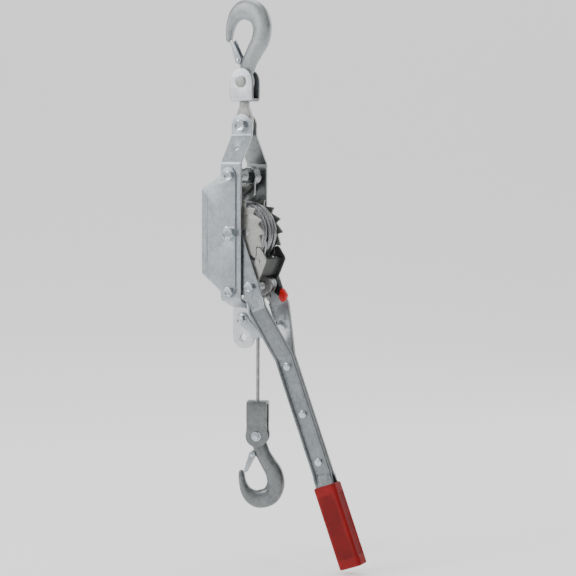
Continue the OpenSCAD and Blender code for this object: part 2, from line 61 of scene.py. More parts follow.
# ------------------------------------------------------------------ camera
def make_camera():
    az, el, roll, dist = 0.5365, 0.0861, 0.0048, 1.8367
    back = Vector((math.sin(az) * math.cos(el), -math.cos(az) * math.cos(el), math.sin(el)))
    right = Vector((math.cos(az), math.sin(az), 0))
    up = back.cross(right)
    r = right * math.cos(roll) + up * math.sin(roll)
    u = up * math.cos(roll) - right * math.sin(roll)
    target = right * 0.05605 + Vector((0, 0, -0.267 - 0.07116))
    cam = bpy.data.cameras.new("camera")
    ob = bpy.data.objects.new("camera", cam)
    bpy.context.scene.collection.objects.link(ob)
    cam.sensor_width = 36.0
    cam.lens = 36.0 * 1434.9 / 576.0
    cam.clip_start, cam.clip_end = 0.05, 50
    m = Matrix((r, u, back)).transposed().to_4x4()
    m.translation = target + back * dist
    ob.matrix_world = m
    bpy.context.scene.camera = ob
make_camera()

# ------------------------------------------------------------------ mesh helpers (mm, axle frame)
def paint(ob, material, test):
    """Gives the faces that pass the test a second material; in this script that paints shade and highlights onto chosen
    faces, and darker cut edges.
    """
    ob.data.materials.append(material)
    k = len(ob.data.materials) - 1
    for p in ob.data.polygons:
        if test(p):
            p.material_index = k

def to_object(name, verts, faces, body, material, replaces=(), slot=None, smooth=True, angle=35, row=False):
    me = bpy.data.meshes.new(name)
    v = np.asarray(verts, float)
    if not row:
        v = v + np.array([0, 0, AX])
    v = v * 0.001
    me.from_pydata([tuple(p) for p in v], [], [tuple(int(i) for i in f) for f in faces])
    me.validate()
    bm = bmesh.new(); bm.from_mesh(me)
    bmesh.ops.remove_doubles(bm, verts=bm.verts, dist=2e-6)
    bmesh.ops.recalc_face_normals(bm, faces=bm.faces)
    for f in bm.faces:
        f.smooth = smooth
    if smooth and angle < 180:
        lim = math.radians(angle)
        for e in bm.edges:
            if len(e.link_faces) == 2:
                e.smooth = e.calc_face_angle(0) < lim
    bm.to_mesh(me); bm.free()
    ob = bpy.data.objects.new(name, me)
    bpy.context.scene.collection.objects.link(ob)
    me.materials.append(material)
    if body:
        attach(ob, body)
    if replaces:
        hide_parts(*replaces)
    return ob

class Bag:
    """Several shells gathered into one mesh."""
    def __init__(self):
        self.v, self.f, self.n = [], [], 0
    def add(self, vf):
        v, f = vf
        v = np.asarray(v, float)
        self.v.append(v)
        self.f += [tuple(i + self.n for i in q) for q in f]
        self.n += len(v)
        return self
    def out(self):
        return np.concatenate(self.v), self.f

def unit(v):
    v = np.asarray(v, float)
    return v / max(np.linalg.norm(v), 1e-12)

def arc(cx, cy, r, a0, a1, n):
    t = np.radians(np.linspace(a0, a1, n))
    return [(cx + r * math.cos(a), cy + r * math.sin(a)) for a in t]

def circle(cx, cy, r, n=40):
    return [(cx + r * math.cos(2 * math.pi * i / n), cy + r * math.sin(2 * math.pi * i / n)) for i in range(n)]

def round_poly(pts, radii, n=6):
    """Closed polygon with rounded corners."""
    out = []
    k = len(pts)
    if not hasattr(radii, "__len__"):
        radii = [radii] * k
    for i in range(k):
        b = np.array(pts[i], float)
        a, c = np.array(pts[i - 1], float), np.array(pts[(i + 1) % k], float)
        out += fillet_corner(a, b, c, radii[i], n)
    return [tuple(p) for p in out]

def fillet_corner(a, b, c, r, n):
    u, w = unit(a - b), unit(c - b)
    cosang = float(np.clip(u @ w, -1, 1))
    h = math.acos(cosang) / 2
    if r <= 0 or h > math.radians(89) or h < 1e-3:
        return [b]
    d = r / math.tan(h)
    lim = 0.49 * min(np.linalg.norm(a - b), np.linalg.norm(c - b))
    if d > lim:
        d = lim; r = d * math.tan(h)
    m = b + unit(u + w) * (r / math.sin(h))
    s, e = b + u * d, b + w * d
    a0 = math.atan2(s[1] - m[1], s[0] - m[0]); a1 = math.atan2(e[1] - m[1], e[0] - m[0]) - a0
    while a1 > math.pi: a1 -= 2 * math.pi
    while a1 < -math.pi: a1 += 2 * math.pi
    return [m + r * np.array([math.cos(a0 + a1 * i / n), math.sin(a0 + a1 * i / n)]) for i in range(n + 1)]

def fillet_path(p, r, n=8):
    p = [np.array(q, float) for q in p]
    out = [p[0]]
    for i in range(1, len(p) - 1):
        out += fillet_corner(p[i - 1], p[i], p[i + 1], r, n)
    out.append(p[-1])
    return np.array(out)

def flat_plate(loops, t, bevel=0.4, res=2):
    """Plate in the x, y plane with rounded edges and holes, thickness t about z = 0."""
    cu = bpy.data.curves.new("tmp", "CURVE")
    cu.dimensions = "2D"; cu.fill_mode = "BOTH"
    cu.extrude = t / 2 - bevel; cu.bevel_depth = bevel; cu.bevel_resolution = res; cu.offset = -bevel
    for i, lp in enumerate(loops):
        area = sum(lp[j - 1][0] * lp[j][1] - lp[j][0] * lp[j - 1][1] for j in range(len(lp)))
        if (area > 0) != (i == 0):
            lp = lp[::-1]
        sp = cu.splines.new("POLY")
        sp.points.add(len(lp) - 1)
        for q, (x, y) in zip(sp.points, lp):
            q.co = (x, y, 0, 1)
        sp.use_cyclic_u = True
    ob = bpy.data.objects.new("tmp", cu)
    bpy.context.scene.collection.objects.link(ob)
    bpy.context.view_layer.update()
    dg = bpy.context.evaluated_depsgraph_get()
    me = bpy.data.meshes.new_from_object(ob.evaluated_get(dg))
    v = np.array([p.co for p in me.vertices], float).reshape(-1, 3)
    f = [tuple(p.vertices) for p in me.polygons]
    bpy.data.objects.remove(ob); bpy.data.curves.remove(cu); bpy.data.meshes.remove(me)
    return v, f

def plateXZ(loops, y0, y1, bevel=0.4, res=2):
    v, f = flat_plate(loops, y1 - y0, bevel, res)
    return np.stack([v[:, 0], (y0 + y1) / 2 + v[:, 2], v[:, 1]], 1), f

def cut_levels(v, f, axis, levels):
    """Adds edge loops where the mesh crosses each level of one coordinate."""
    me = bpy.data.meshes.new("tmp")
    me.from_pydata([tuple(p) for p in v], [], f)
    bm = bmesh.new(); bm.from_mesh(me)
    bmesh.ops.remove_doubles(bm, verts=bm.verts, dist=1e-4)
    no = [0, 0, 0]; no[axis] = 1
    for s in levels:
        co = [0, 0, 0]; co[axis] = s
        bmesh.ops.bisect_plane(bm, geom=bm.verts[:] + bm.edges[:] + bm.faces[:], plane_co=co, plane_no=no, dist=1e-5)
    bm.to_mesh(me); bm.free()
    v = np.array([p.co for p in me.vertices], float).reshape(-1, 3)
    f = [tuple(p.vertices) for p in me.polygons]
    bpy.data.meshes.remove(me)
    return v, f

class Path2:
    """A filleted line in the (y, z) plane that flat stock is bent along."""
    def __init__(self, pts, r, n=8):
        self.p = fillet_path(pts, r, n)
        d = np.diff(self.p, axis=0); self.l = np.linalg.norm(d, axis=1)
        self.s = np.concatenate([[0], np.cumsum(self.l)])
        tan = d / self.l[:, None]
        t = np.vstack([tan[:1], tan[:-1] + tan[1:], tan[-1:]])
        self.t = t / np.linalg.norm(t, axis=1)[:, None]
    def at(self, s):
        s = np.clip(s, self.s[0] - 1e3, self.s[-1] + 1e3)
        y = np.interp(s, self.s, self.p[:, 0]); z = np.interp(s, self.s, self.p[:, 1])
        ty = np.interp(s, self.s, self.t[:, 0]); tz = np.interp(s, self.s, self.t[:, 1])
        n = np.sqrt(ty * ty + tz * tz)
        ty, tz = ty / n, tz / n
        below, above = np.minimum(s - self.s[0], 0), np.maximum(s - self.s[-1], 0)
        y = y + (below + above) * ty; z = z + (below + above) * tz
        return y, z, ty, tz
    def of_z(self, z):
        zz = self.p[:, 1]
        if zz[0] > zz[-1]:
            return float(np.interp(-z, -zz, self.s))
        return float(np.interp(z, zz, self.s))

def bent_plate(loops, path, t, bevel=0.4, res=2, extra=()):
    """loops are in (x, s); the plate follows path, its +n side to the right of travel."""
    v, f = flat_plate(loops, t, bevel, res)
    v, f = cut_levels(v, f, 1, sorted(set([round(float(s), 4) for s in path.s[1:-1]] + list(extra))))
    y, z, ty, tz = path.at(v[:, 1])
    ny, nz = -tz, ty
    return np.stack([v[:, 0], y + v[:, 2] * ny, z + v[:, 2] * nz], 1), f

def mirror_y(vf):
    v, f = vf
    v = v.copy(); v[:, 1] *= -1
    return v, [tuple(reversed(q)) for q in f]

def lathe(profile, x=0.0, z=0.0, n=48):
    """profile: closed (r, y) outline turned about the Y axis through (x, z)."""
    k = len(profile)
    v = []
    for i in range(n):
        a = 2 * math.pi * i / n
        v += [(x + r * math.cos(a), y, z + r * math.sin(a)) for r, y in profile]
    f = []
    for i in range(n):
        j = (i + 1) % n
        for q in range(k):
            w = (q + 1) % k
            f.append((i * k + q, i * k + w, j * k + w, j * k + q))
    return np.array(v), f

def disc(r, y0, y1, x=0, z=0, ch=0.5, n=48, r_in=0.0):
    """Turned disc or ring along Y with chamfered rims."""
    if r_in > 0:
        prof = [(r_in, y0 + ch * 0.5), (r_in + ch * 0.5, y0), (r - ch, y0), (r - ch * 0.3, y0 + ch * 0.3), (r, y0 + ch), (r, y1 - ch), (r - ch * 0.3, y1 - ch * 0.3), (r - ch, y1), (r_in + ch * 0.5, y1), (r_in, y1 - ch * 0.5)]
        return lathe(prof, x, z, n)
    prof = [(1e-4, y0), (r - ch, y0), (r - ch * 0.3, y0 + ch * 0.3), (r, y0 + ch), (r, y1 - ch), (r - ch * 0.3, y1 - ch * 0.3), (r - ch, y1), (1e-4, y1)]
    return lathe(prof, x, z, n)

def hex_head(x, z, y_base, y_top, across, rot=0.0, washer=True, dish=0.35, n=72):
    """Hexagon head with a chamfered crown; across is corner to corner."""
    R = across / 2; ri = R * math.cos(math.pi / 6)
    sgn = 1 if y_top > y_base else -1
    h = abs(y_top - y_base)
    lev = [(0.0, 1.0, 1e9), (0.06, 1.0, 1e9), (0.62, 1.0, 1e9), (0.74, 1.0, R * 1.0), (0.86, 1.0, R * 0.965), (0.95, 1.0, R * 0.915), (1.0, 1.0, ri * 0.94)]
    v, rings = [], []
    for frac, s, cap in lev:
        ring = []
        for i in range(n):
            a = 2 * math.pi * i / n
            b = ((a + math.pi / 6) % (math.pi / 3)) - math.pi / 6
            rr = ri / math.cos(b)
            rr = min(rr, R * 0.985)
            rr = min(rr, cap) * s
            if frac == 0.0: rr = min(rr, R * 0.97)
            ring.append(len(v))
            v.append((x + rr * math.cos(a + rot), y_base + sgn * h * frac, z + rr * math.sin(a + rot)))
        rings.append(ring)
    for fr, dd in ((0.72, dish * 0.4), (0.6, dish), (0.3, dish * 0.9)):
        ring = []
        for i in range(n):
            a = 2 * math.pi * i / n
            ring.append(len(v))
            v.append((x + ri * fr * math.cos(a), y_top - sgn * dd, z + ri * fr * math.sin(a)))
        rings.append(ring)
    f = []
    for p, q in zip(rings[:-1], rings[1:]):
        for i in range(n):
            j = (i + 1) % n
            f.append((p[i], p[j], q[j], q[i]))
    f.append(tuple(rings[-1])); f.append(tuple(reversed(rings[0])))
    b = Bag(); b.add((np.array(v), f))
    if washer:
        wy = y_base - sgn * 0.0
        b.add(disc(R * 1.02, min(wy, wy - sgn * 0.0) - (0.0 if sgn < 0 else 0), max(wy, wy) + 0.0001, x, z, 0.00001) if False else disc(ri * 1.0, min(y_base, y_base + sgn * 0.3), max(y_base, y_base + sgn * 0.3), x, z, 0.1))
    return b.out()

def shank(r, y0, y1, x=0, z=0, n=40):
    return disc(r, y0, y1, x, z, 0.6, n)

def thread(r, y0, y1, x, z, pitch=1.25):
    k = max(2, int(abs(y1 - y0) / pitch))
    prof = [(1e-4, y0)]
    for i in range(k):
        a = y0 + (y1 - y0) * i / k; m = y0 + (y1 - y0) * (i + 0.5) / k
        prof += [(r - 0.55, a), (r, m)]
    prof += [(r - 0.55, y1), (r - 1.1, y1 + 0.0), (1e-4, y1)]
    return lathe(prof, x, z, 36)

# ---- sweeps along 3-D lines
def frames_along(p):
    p = np.asarray(p, float)
    t = np.gradient(p, axis=0)
    t /= np.linalg.norm(t, axis=1)[:, None]
    n = np.zeros_like(t)
    a = np.array([0, 1.0, 0]) if abs(t[0][1]) < 0.9 else np.array([1.0, 0, 0])
    n[0] = unit(np.cross(np.cross(t[0], a), t[0]))
    for i in range(1, len(p)):
        v = n[i - 1] - t[i] * (n[i - 1] @ t[i])
        n[i] = unit(v)
    b = np.cross(t, n)
    return p, t, n, b

def tube(p, r, m=10, caps=True, radius_fn=None, round_ends=False):
    p, t, n, b = frames_along(p)
    k = len(p)
    s = np.concatenate([[0], np.cumsum(np.linalg.norm(np.diff(p, axis=0), axis=1))])
    th = 2 * np.pi * np.arange(m) / m
    if radius_fn is None:
        rr = np.full((k, m), float(r))
    else:
        rr = radius_fn(s[:, None], th[None, :])
    if round_ends:
        for i in (0, -1):
            rr[i] *= 0.72
    v = p[:, None, :] + rr[:, :, None] * (np.cos(th)[None, :, None] * n[:, None, :] + np.sin(th)[None, :, None] * b[:, None, :])
    v = v.reshape(-1, 3)
    f = []
    for i in range(k - 1):
        for j in range(m):
            q = (j + 1) % m
            f.append((i * m + j, i * m + q, (i + 1) * m + q, (i + 1) * m + j))
    if caps:
        f.append(tuple(range(m - 1, -1, -1))); f.append(tuple((k - 1) * m + j for j in range(m)))
    return v, f

ROPE_R = 2.38
def strand_radius(lay=27.0, lobes=6, r=ROPE_R, depth=0.24):
    def fn(s, th):
        ph = lobes * (th - 2 * np.pi * s / lay)
        w = np.abs(np.cos(ph / 2))
        return r * (1 - depth * (1 - w) ** 1.5 * 1.25)
    return fn

def rope_tube(p, m=24, step=1.3):
    p = resample(p, step)
    return tube(p, ROPE_R, m, True, strand_radius())

def resample(p, step):
    p = np.asarray(p, float)
    d = np.linalg.norm(np.diff(p, axis=0), axis=1)
    s = np.concatenate([[0], np.cumsum(d)])
    k = max(2, int(round(s[-1] / step)) + 1)
    q = np.linspace(0, s[-1], k)
    return np.stack([np.interp(q, s, p[:, i]) for i in range(3)], 1)

def catmull(pts, m):
    p = np.array(pts, float)
    out = []
    for i in range(len(p) - 1):
        a, b, c, d = p[max(0, i - 1)], p[i], p[i + 1], p[min(len(p) - 1, i + 2)]
        for j in range(m):
            t = j / m
            out.append(0.5 * (2 * b + (c - a) * t + (2 * a - 5 * b + 4 * c - d) * t * t + (3 * b - a - 3 * c + d) * t ** 3))
    out.append(p[-1])
    return np.array(out)

def spring_y(r, w, y0, y1, turns, x=0, z=0, a0=0.0, dr=0.0):
    n = int(turns * 28)
    t = np.linspace(0, 1, n + 1)
    a = math.radians(a0) + 2 * np.pi * turns * t
    y = y0 + (y1 - y0) * t
    r = r + dr * t
    return np.stack([x + r * np.cos(a), y, z + r * np.sin(a)], 1)

# ------------------------------------------------------------------ materials
def nodes_of(name):
    m = bpy.data.materials.new(name)
    m.use_nodes = True
    nt = m.node_tree
    nt.nodes.clear()
    out = nt.nodes.new("ShaderNodeOutputMaterial")
    sh = nt.nodes.new("ShaderNodeBsdfPrincipled")
    nt.links.new(sh.outputs[0], out.inputs[0])
    co = nt.nodes.new("ShaderNodeTexCoord")
    return m, nt, sh, co.outputs["Object"]

def noise_node(nt, co, scale, detail=4.0, rough=0.55, stretch=None, distort=0.0):
    if stretch:
        mp = nt.nodes.new("ShaderNodeMapping")
        mp.inputs["Scale"].default_value = stretch
        nt.links.new(co, mp.inputs[0]); co = mp.outputs[0]
    n = nt.nodes.new("ShaderNodeTexNoise")
    n.inputs["Scale"].default_value = scale
    n.inputs["Detail"].default_value = detail
    n.inputs["Roughness"].default_value = rough
    n.inputs["Distortion"].default_value = distort
    nt.links.new(co, n.inputs["Vector"])
    return n.outputs[0]

def ramp(nt, fac, stops):
    r = nt.nodes.new("ShaderNodeValToRGB")
    el = r.color_ramp.elements
    while len(el) < len(stops):
        el.new(0.5)
    for e, (p, c) in zip(el, stops):
        e.position = p
        e.color = (c[0], c[1], c[2], 1) if hasattr(c, "__len__") else (c, c, c, 1)
    nt.links.new(fac, r.inputs[0])
    return r.outputs[0]

def mix(nt, a, b, fac, mode="MIX"):
    m = nt.nodes.new("ShaderNodeMix")
    m.data_type = "RGBA"; m.blend_type = mode
    if hasattr(fac, "is_linked"):
        nt.links.new(fac, m.inputs[0])
    else:
        m.inputs[0].default_value = fac
    for s, x in ((m.inputs[6], a), (m.inputs[7], b)):
        if hasattr(x, "is_linked"):
            nt.links.new(x, s)
        else:
            s.default_value = (*x, 1)
    return m.outputs[2]

def bump(nt, sh, height, strength, dist, prev=None):
    b = nt.nodes.new("ShaderNodeBump")
    b.inputs["Strength"].default_value = strength
    b.inputs["Distance"].default_value = dist
    nt.links.new(height, b.inputs["Height"])
    if prev is not None:
        nt.links.new(prev, b.inputs["Normal"])
    nt.links.new(b.outputs[0], sh.inputs["Normal"])
    return b.outputs[0]

def metal(name, light, dark, rough=(0.3, 0.45), grain=(1, 1, 1), grain_scale=900, mottle=60, metallic=1.0, bumps=(0.12, 0.00015), specks=0.0, edge=0.0, stain=None, coarse=0.0):
    """Plated or bare steel: broad mottling, fine grain along one way, dark specks, worn bright edges."""
    m, nt, sh, co = nodes_of(name)
    broad = noise_node(nt, co, mottle, 5, 0.6)
    fine = noise_node(nt, co, grain_scale, 3, 0.6, grain)
    mid = noise_node(nt, co, mottle * 5.0, 4, 0.65)
    col = ramp(nt, broad, [(0.34, dark), (0.66, light)])
    col = mix(nt, col, ramp(nt, fine, [(0.3, tuple(c * 0.86 for c in dark)), (0.7, tuple(min(1, c * 1.06) for c in light))]), 0.42)
    col = mix(nt, col, ramp(nt, mid, [(0.36, tuple(c * 0.8 for c in dark)), (0.6, light)]), 0.3)
    if stain:
        st = noise_node(nt, co, mottle * 0.45, 6, 0.7, None, 0.8)
        col = mix(nt, col, stain, ramp(nt, st, [(0.56, 0.0), (0.74, 0.55)]))
    if specks:
        sp = nt.nodes.new("ShaderNodeTexVoronoi")
        sp.inputs["Scale"].default_value = 420
        nt.links.new(co, sp.inputs["Vector"])
        msk = ramp(nt, sp.outputs["Distance"], [(0.07, specks), (0.15, 0.0)])
        col = mix(nt, col, tuple(c * 0.35 for c in dark), msk)
    if edge:
        g = nt.nodes.new("ShaderNodeNewGeometry")
        pt = ramp(nt, g.outputs["Pointiness"], [(0.5, 0.0), (0.56, edge)])
        col = mix(nt, col, tuple(min(1, c * 1.12) for c in light), pt)
    nt.links.new(col, sh.inputs["Base Color"])
    sh.inputs["Metallic"].default_value = metallic
    rg = nt.nodes.new("ShaderNodeMapRange")
    rg.inputs["From Min"].default_value, rg.inputs["From Max"].default_value = 0.3, 0.7
    rg.inputs["To Min"].default_value, rg.inputs["To Max"].default_value = rough
    nt.links.new(mid, rg.inputs["Value"])
    nt.links.new(rg.outputs[0], sh.inputs["Roughness"])
    b = bump(nt, sh, fine, bumps[0], bumps[1])
    b = bump(nt, sh, mid, bumps[0] * 1.2, bumps[1] * 1.6, b)
    if coarse:
        bump(nt, sh, noise_node(nt, co, mottle * 2.2, 3, 0.5), 0.5, coarse, b)
    return m

ZINC = metal("zinc_sheet", (0.50, 0.535, 0.56), (0.34, 0.375, 0.40), (0.30, 0.46), (1, 1, 0.12), 1100, 55, 0.9, (0.10, 0.00012), specks=0.3, stain=(0.30, 0.325, 0.345))
# darker copy of the zinc sheet for the far-side plates: painted shade
ZINC_FAR_SHADE = metal("zinc_sheet_far_painted_shade", (0.44, 0.46, 0.46), (0.25, 0.265, 0.265), (0.26, 0.42), (1, 1, 0.12), 1100, 70, 0.95, (0.14, 0.00015), specks=0.3, stain=(0.15, 0.16, 0.16))
HANDLE_M = metal("handle_steel", (0.44, 0.475, 0.50), (0.24, 0.265, 0.285), (0.24, 0.40), (1, 1, 0.07), 1300, 45, 0.94, (0.14, 0.00014), specks=0.25, stain=(0.18, 0.20, 0.215))
FORGED = metal("galvanised_forging", (0.44, 0.465, 0.475), (0.29, 0.31, 0.32), (0.38, 0.56), (1, 1, 1), 700, 42, 0.8, (0.22, 0.0002), specks=0.3, stain=(0.20, 0.215, 0.225), coarse=0.0005)
FORGED_DARK = metal("dark_steel", (0.17, 0.18, 0.18), (0.06, 0.064, 0.066), (0.22, 0.38), (1, 1, 1), 900, 130, 0.97, (0.2, 0.00015), specks=0.2, stain=(0.03, 0.032, 0.034))
CLEVIS_DARK = metal("clevis_dark", (0.25, 0.265, 0.265), (0.14, 0.15, 0.15), (0.3, 0.46), (1, 1, 0.3), 900, 60, 0.9, (0.22, 0.0002), specks=0.4, stain=(0.09, 0.095, 0.095))
BOLT = metal("bright_zinc", (0.66, 0.70, 0.73), (0.40, 0.44, 0.47), (0.14, 0.28), (1, 1, 1), 800, 120, 0.97, (0.10, 0.0001), specks=0.2)
WHEEL = metal("ratchet_steel", (0.50, 0.50, 0.475), (0.34, 0.345, 0.325), (0.36, 0.52), (1, 1, 1), 900, 60, 0.75, (0.16, 0.00016), specks=0.35, stain=(0.24, 0.24, 0.22))
# darker copy of the ratchet steel for far and unlit faces: painted shade
WHEEL_SHADE = metal("ratchet_steel_painted_shade", (0.26, 0.265, 0.25), (0.14, 0.145, 0.135), (0.32, 0.48), (1, 1, 1), 900, 70, 0.9, (0.18, 0.00018), specks=0.35, stain=(0.08, 0.082, 0.075))
DARK = metal("dark_steel", (0.23, 0.24, 0.25), (0.09, 0.095, 0.10), (0.24, 0.42), (1, 1, 1), 900, 130, 0.95, (0.2, 0.00015), specks=0.2, stain=(0.05, 0.052, 0.055))
SPRING = metal("spring_wire", (0.55, 0.57, 0.58), (0.28, 0.29, 0.30), (0.2, 0.34), (1, 1, 1), 1200, 150, 1.0, (0.1, 0.0001), specks=0.1)
STUD = metal("stud_steel", (0.46, 0.46, 0.44), (0.30, 0.305, 0.295), (0.38, 0.54), (1, 1, 1), 800, 60, 0.75, (0.2, 0.0002), specks=0.35, stain=(0.20, 0.195, 0.18))

# paler copy of the zinc sheet for brightly lit faces: painted highlight
ZINC_HIGHLIGHT = metal("zinc_sheet_painted_highlight", (0.74, 0.77, 0.79), (0.55, 0.58, 0.60), (0.32, 0.48), (1, 1, 0.12), 1100, 55, 0.85, (0.10, 0.00012), specks=0.25, stain=(0.50, 0.52, 0.54))
# dark material for cut edges, also laid on faces turned from the light and recessed faces: darker cut steel with
# painted shade
EDGE_AND_SHADE = metal("sheared_edge_and_painted_shade", (0.20, 0.21, 0.215), (0.10, 0.105, 0.11), (0.3, 0.46), (1, 1, 0.3), 1100, 90, 0.92, (0.2, 0.00015), specks=0.3, stain=(0.06, 0.062, 0.064))
# near-black steel for the recessed pawl webs and rims: painted shade
WEB_SHADE = metal("pawl_web_painted_shade", (0.085, 0.09, 0.085), (0.035, 0.038, 0.036), (0.38, 0.54), (1, 1, 1), 900, 90, 0.85, (0.2, 0.00018), specks=0.3, stain=(0.02, 0.021, 0.02))
# darker copy of the handle steel for the near half's bend: painted shade
HANDLE_BEND_SHADE = metal("handle_steel_bend_painted_shade", (0.25, 0.27, 0.285), (0.14, 0.152, 0.163), (0.24, 0.40), (1, 1, 0.07), 1300, 45, 0.95, (0.14, 0.00014), specks=0.25, stain=(0.10, 0.11, 0.12))
# darker copy of the handle steel for the near half below the bend: painted shade
HANDLE_LOW_SHADE = metal("handle_steel_low_painted_shade", (0.29, 0.315, 0.33), (0.16, 0.175, 0.19), (0.24, 0.40), (1, 1, 0.07), 1300, 45, 0.94, (0.14, 0.00014), specks=0.25, stain=(0.15, 0.165, 0.18))
# darker copy of the galvanised forging for the lower hook: painted shade
FORGED_LOW_SHADE = metal("galvanised_forging_low_painted_shade", (0.25, 0.265, 0.27), (0.13, 0.14, 0.145), (0.28, 0.44), (1, 1, 1), 700, 42, 0.92, (0.22, 0.0002), specks=0.3, stain=(0.13, 0.14, 0.145), coarse=0.0005)
PIN = metal("pin_steel", (0.62, 0.64, 0.65), (0.36, 0.37, 0.38), (0.2, 0.36), (1, 1, 1), 900, 120, 0.95, (0.12, 0.0001), specks=0.2)

def rope_material():
    m, nt, sh, co = nodes_of("wire_rope")
    at = nt.nodes.new("ShaderNodeAttribute"); at.attribute_name = "crest"
    crest = at.outputs["Fac"]
    br = noise_node(nt, co, 90, 4, 0.6)
    col = ramp(nt, br, [(0.3, (0.27, 0.275, 0.28)), (0.7, (0.56, 0.57, 0.58))])
    wire = noise_node(nt, co, 1500, 2, 0.5, (1, 1, 0.5))
    col = mix(nt, col, (0.30, 0.305, 0.31), ramp(nt, wire, [(0.4, 0.5), (0.6, 0.0)]))
    # painted shade: the valleys between strands, read from the crest attribute, are darkened almost to black
    col = mix(nt, col, (0.035, 0.036, 0.038), ramp(nt, crest, [(0.18, 1.0), (0.62, 0.0)]))
    nt.links.new(col, sh.inputs["Base Color"])
    sh.inputs["Metallic"].default_value = 0.95
    rg = nt.nodes.new("ShaderNodeMapRange")
    rg.inputs["To Min"].default_value, rg.inputs["To Max"].default_value = 0.22, 0.42
    nt.links.new(br, rg.inputs["Value"]); nt.links.new(rg.outputs[0], sh.inputs["Roughness"])
    bump(nt, sh, wire, 0.3, 0.0001)
    return m
ROPE = rope_material()

def plastic(name, light, dark, rough, coat=0.0, scale=500, bumpd=0.0001, shade_attr=None):
    m, nt, sh, co = nodes_of(name)
    br = noise_node(nt, co, 60, 4, 0.55)
    fi = noise_node(nt, co, scale, 3, 0.5)
    col = ramp(nt, br, [(0.3, dark), (0.7, light)])
    col = mix(nt, col, tuple(c * 0.8 for c in dark), ramp(nt, fi, [(0.35, 0.35), (0.6, 0.0)]))
    # painted shade: the grooves of the woven panel are darkened by their depth
    if shade_attr:
        at = nt.nodes.new("ShaderNodeAttribute"); at.attribute_name = shade_attr
        col = mix(nt, col, tuple(c * 0.12 for c in dark), ramp(nt, at.outputs["Fac"], [(0.05, 0.0), (0.7, 0.9)]))
    nt.links.new(col, sh.inputs["Base Color"])
    rg = nt.nodes.new("ShaderNodeMapRange")
    rg.inputs["From Min"].default_value, rg.inputs["From Max"].default_value = 0.3, 0.7
    rg.inputs["To Min"].default_value, rg.inputs["To Max"].default_value = rough
    nt.links.new(fi, rg.inputs["Value"]); nt.links.new(rg.outputs[0], sh.inputs["Roughness"])
    sh.inputs["Specular IOR Level"].default_value = 0.28
    if coat:
        sh.inputs["Coat Weight"].default_value = coat
        sh.inputs["Coat Roughness"].default_value = 0.15
    bump(nt, sh, fi, 0.25, bumpd)
    return m
GRIP_M = plastic("red_grip_rubber", (0.30, 0.003, 0.004), (0.20, 0.0015, 0.002), (0.42, 0.6), 0.0, 900, 0.00012, "groove")
CAP_M = plastic("red_vinyl", (0.80, 0.022, 0.020), (0.62, 0.012, 0.012), (0.18, 0.3), 0.5, 300, 0.00008)

# ------------------------------------------------------------------ dimensions shared with the CAD
FO, FI, EAR_I = 32.0, 29.0, 3.95
EAR_O = EAR_I + 3
ARM_O, HT = FI - 1.2, 2.6
ARM_I = ARM_O - HT
WH_O, WH_T = ARM_I - 1.5, 3.2
WH_I = WH_O - WH_T
HA = math.radians(21.5)
PX, PZ = 72 * math.sin(HA), -72 * math.cos(HA)
RX, GZ, LC = 21.0, -128.0, 215.0
LPZ = -LC - 45

def hframe(vf):
    v, f = vf
    v = np.asarray(v, float)
    c, s = math.cos(HA), math.sin(HA)
    x, y, z = v[:, 0], v[:, 1], v[:, 2]
    return np.stack([x * c - z * s, y, x * s + z * c], 1), f

def low_frame(vf):
    v, f = vf
    v = np.asarray(v, float)
    a = math.radians(20); c, s = math.cos(a), math.sin(a)
    return np.stack([RX + v[:, 0] * c - v[:, 1] * s, v[:, 0] * s + v[:, 1] * c, v[:, 2]], 1), f

# ------------------------------------------------------------------ hooks
HOOK = [(-23.4, 50.4, 2.6, 3.6), (-23.2, 54, 3.9, 5.0), (-22.6, 58, 4.6, 5.9), (-21.2, 67.5, 5.4, 6.7), (-16.4, 79.5, 7.8, 7.8), (-7.6, 87.6, 11.0, 8.8),
        (3.4, 90, 13.0, 9.2), (18, 84.6, 13.2, 9.2), (26, 69, 12.6, 9.2), (23.4, 52, 12.0, 8.8), (16.2, 39.8, 11.2, 8.2),
        (8.6, 27, 10.4, 6.9), (3.6, 15, 10.6, 4.9), (1, 6, 9.0, 4.7), (0.2, 0, 8.0, 4.6)]

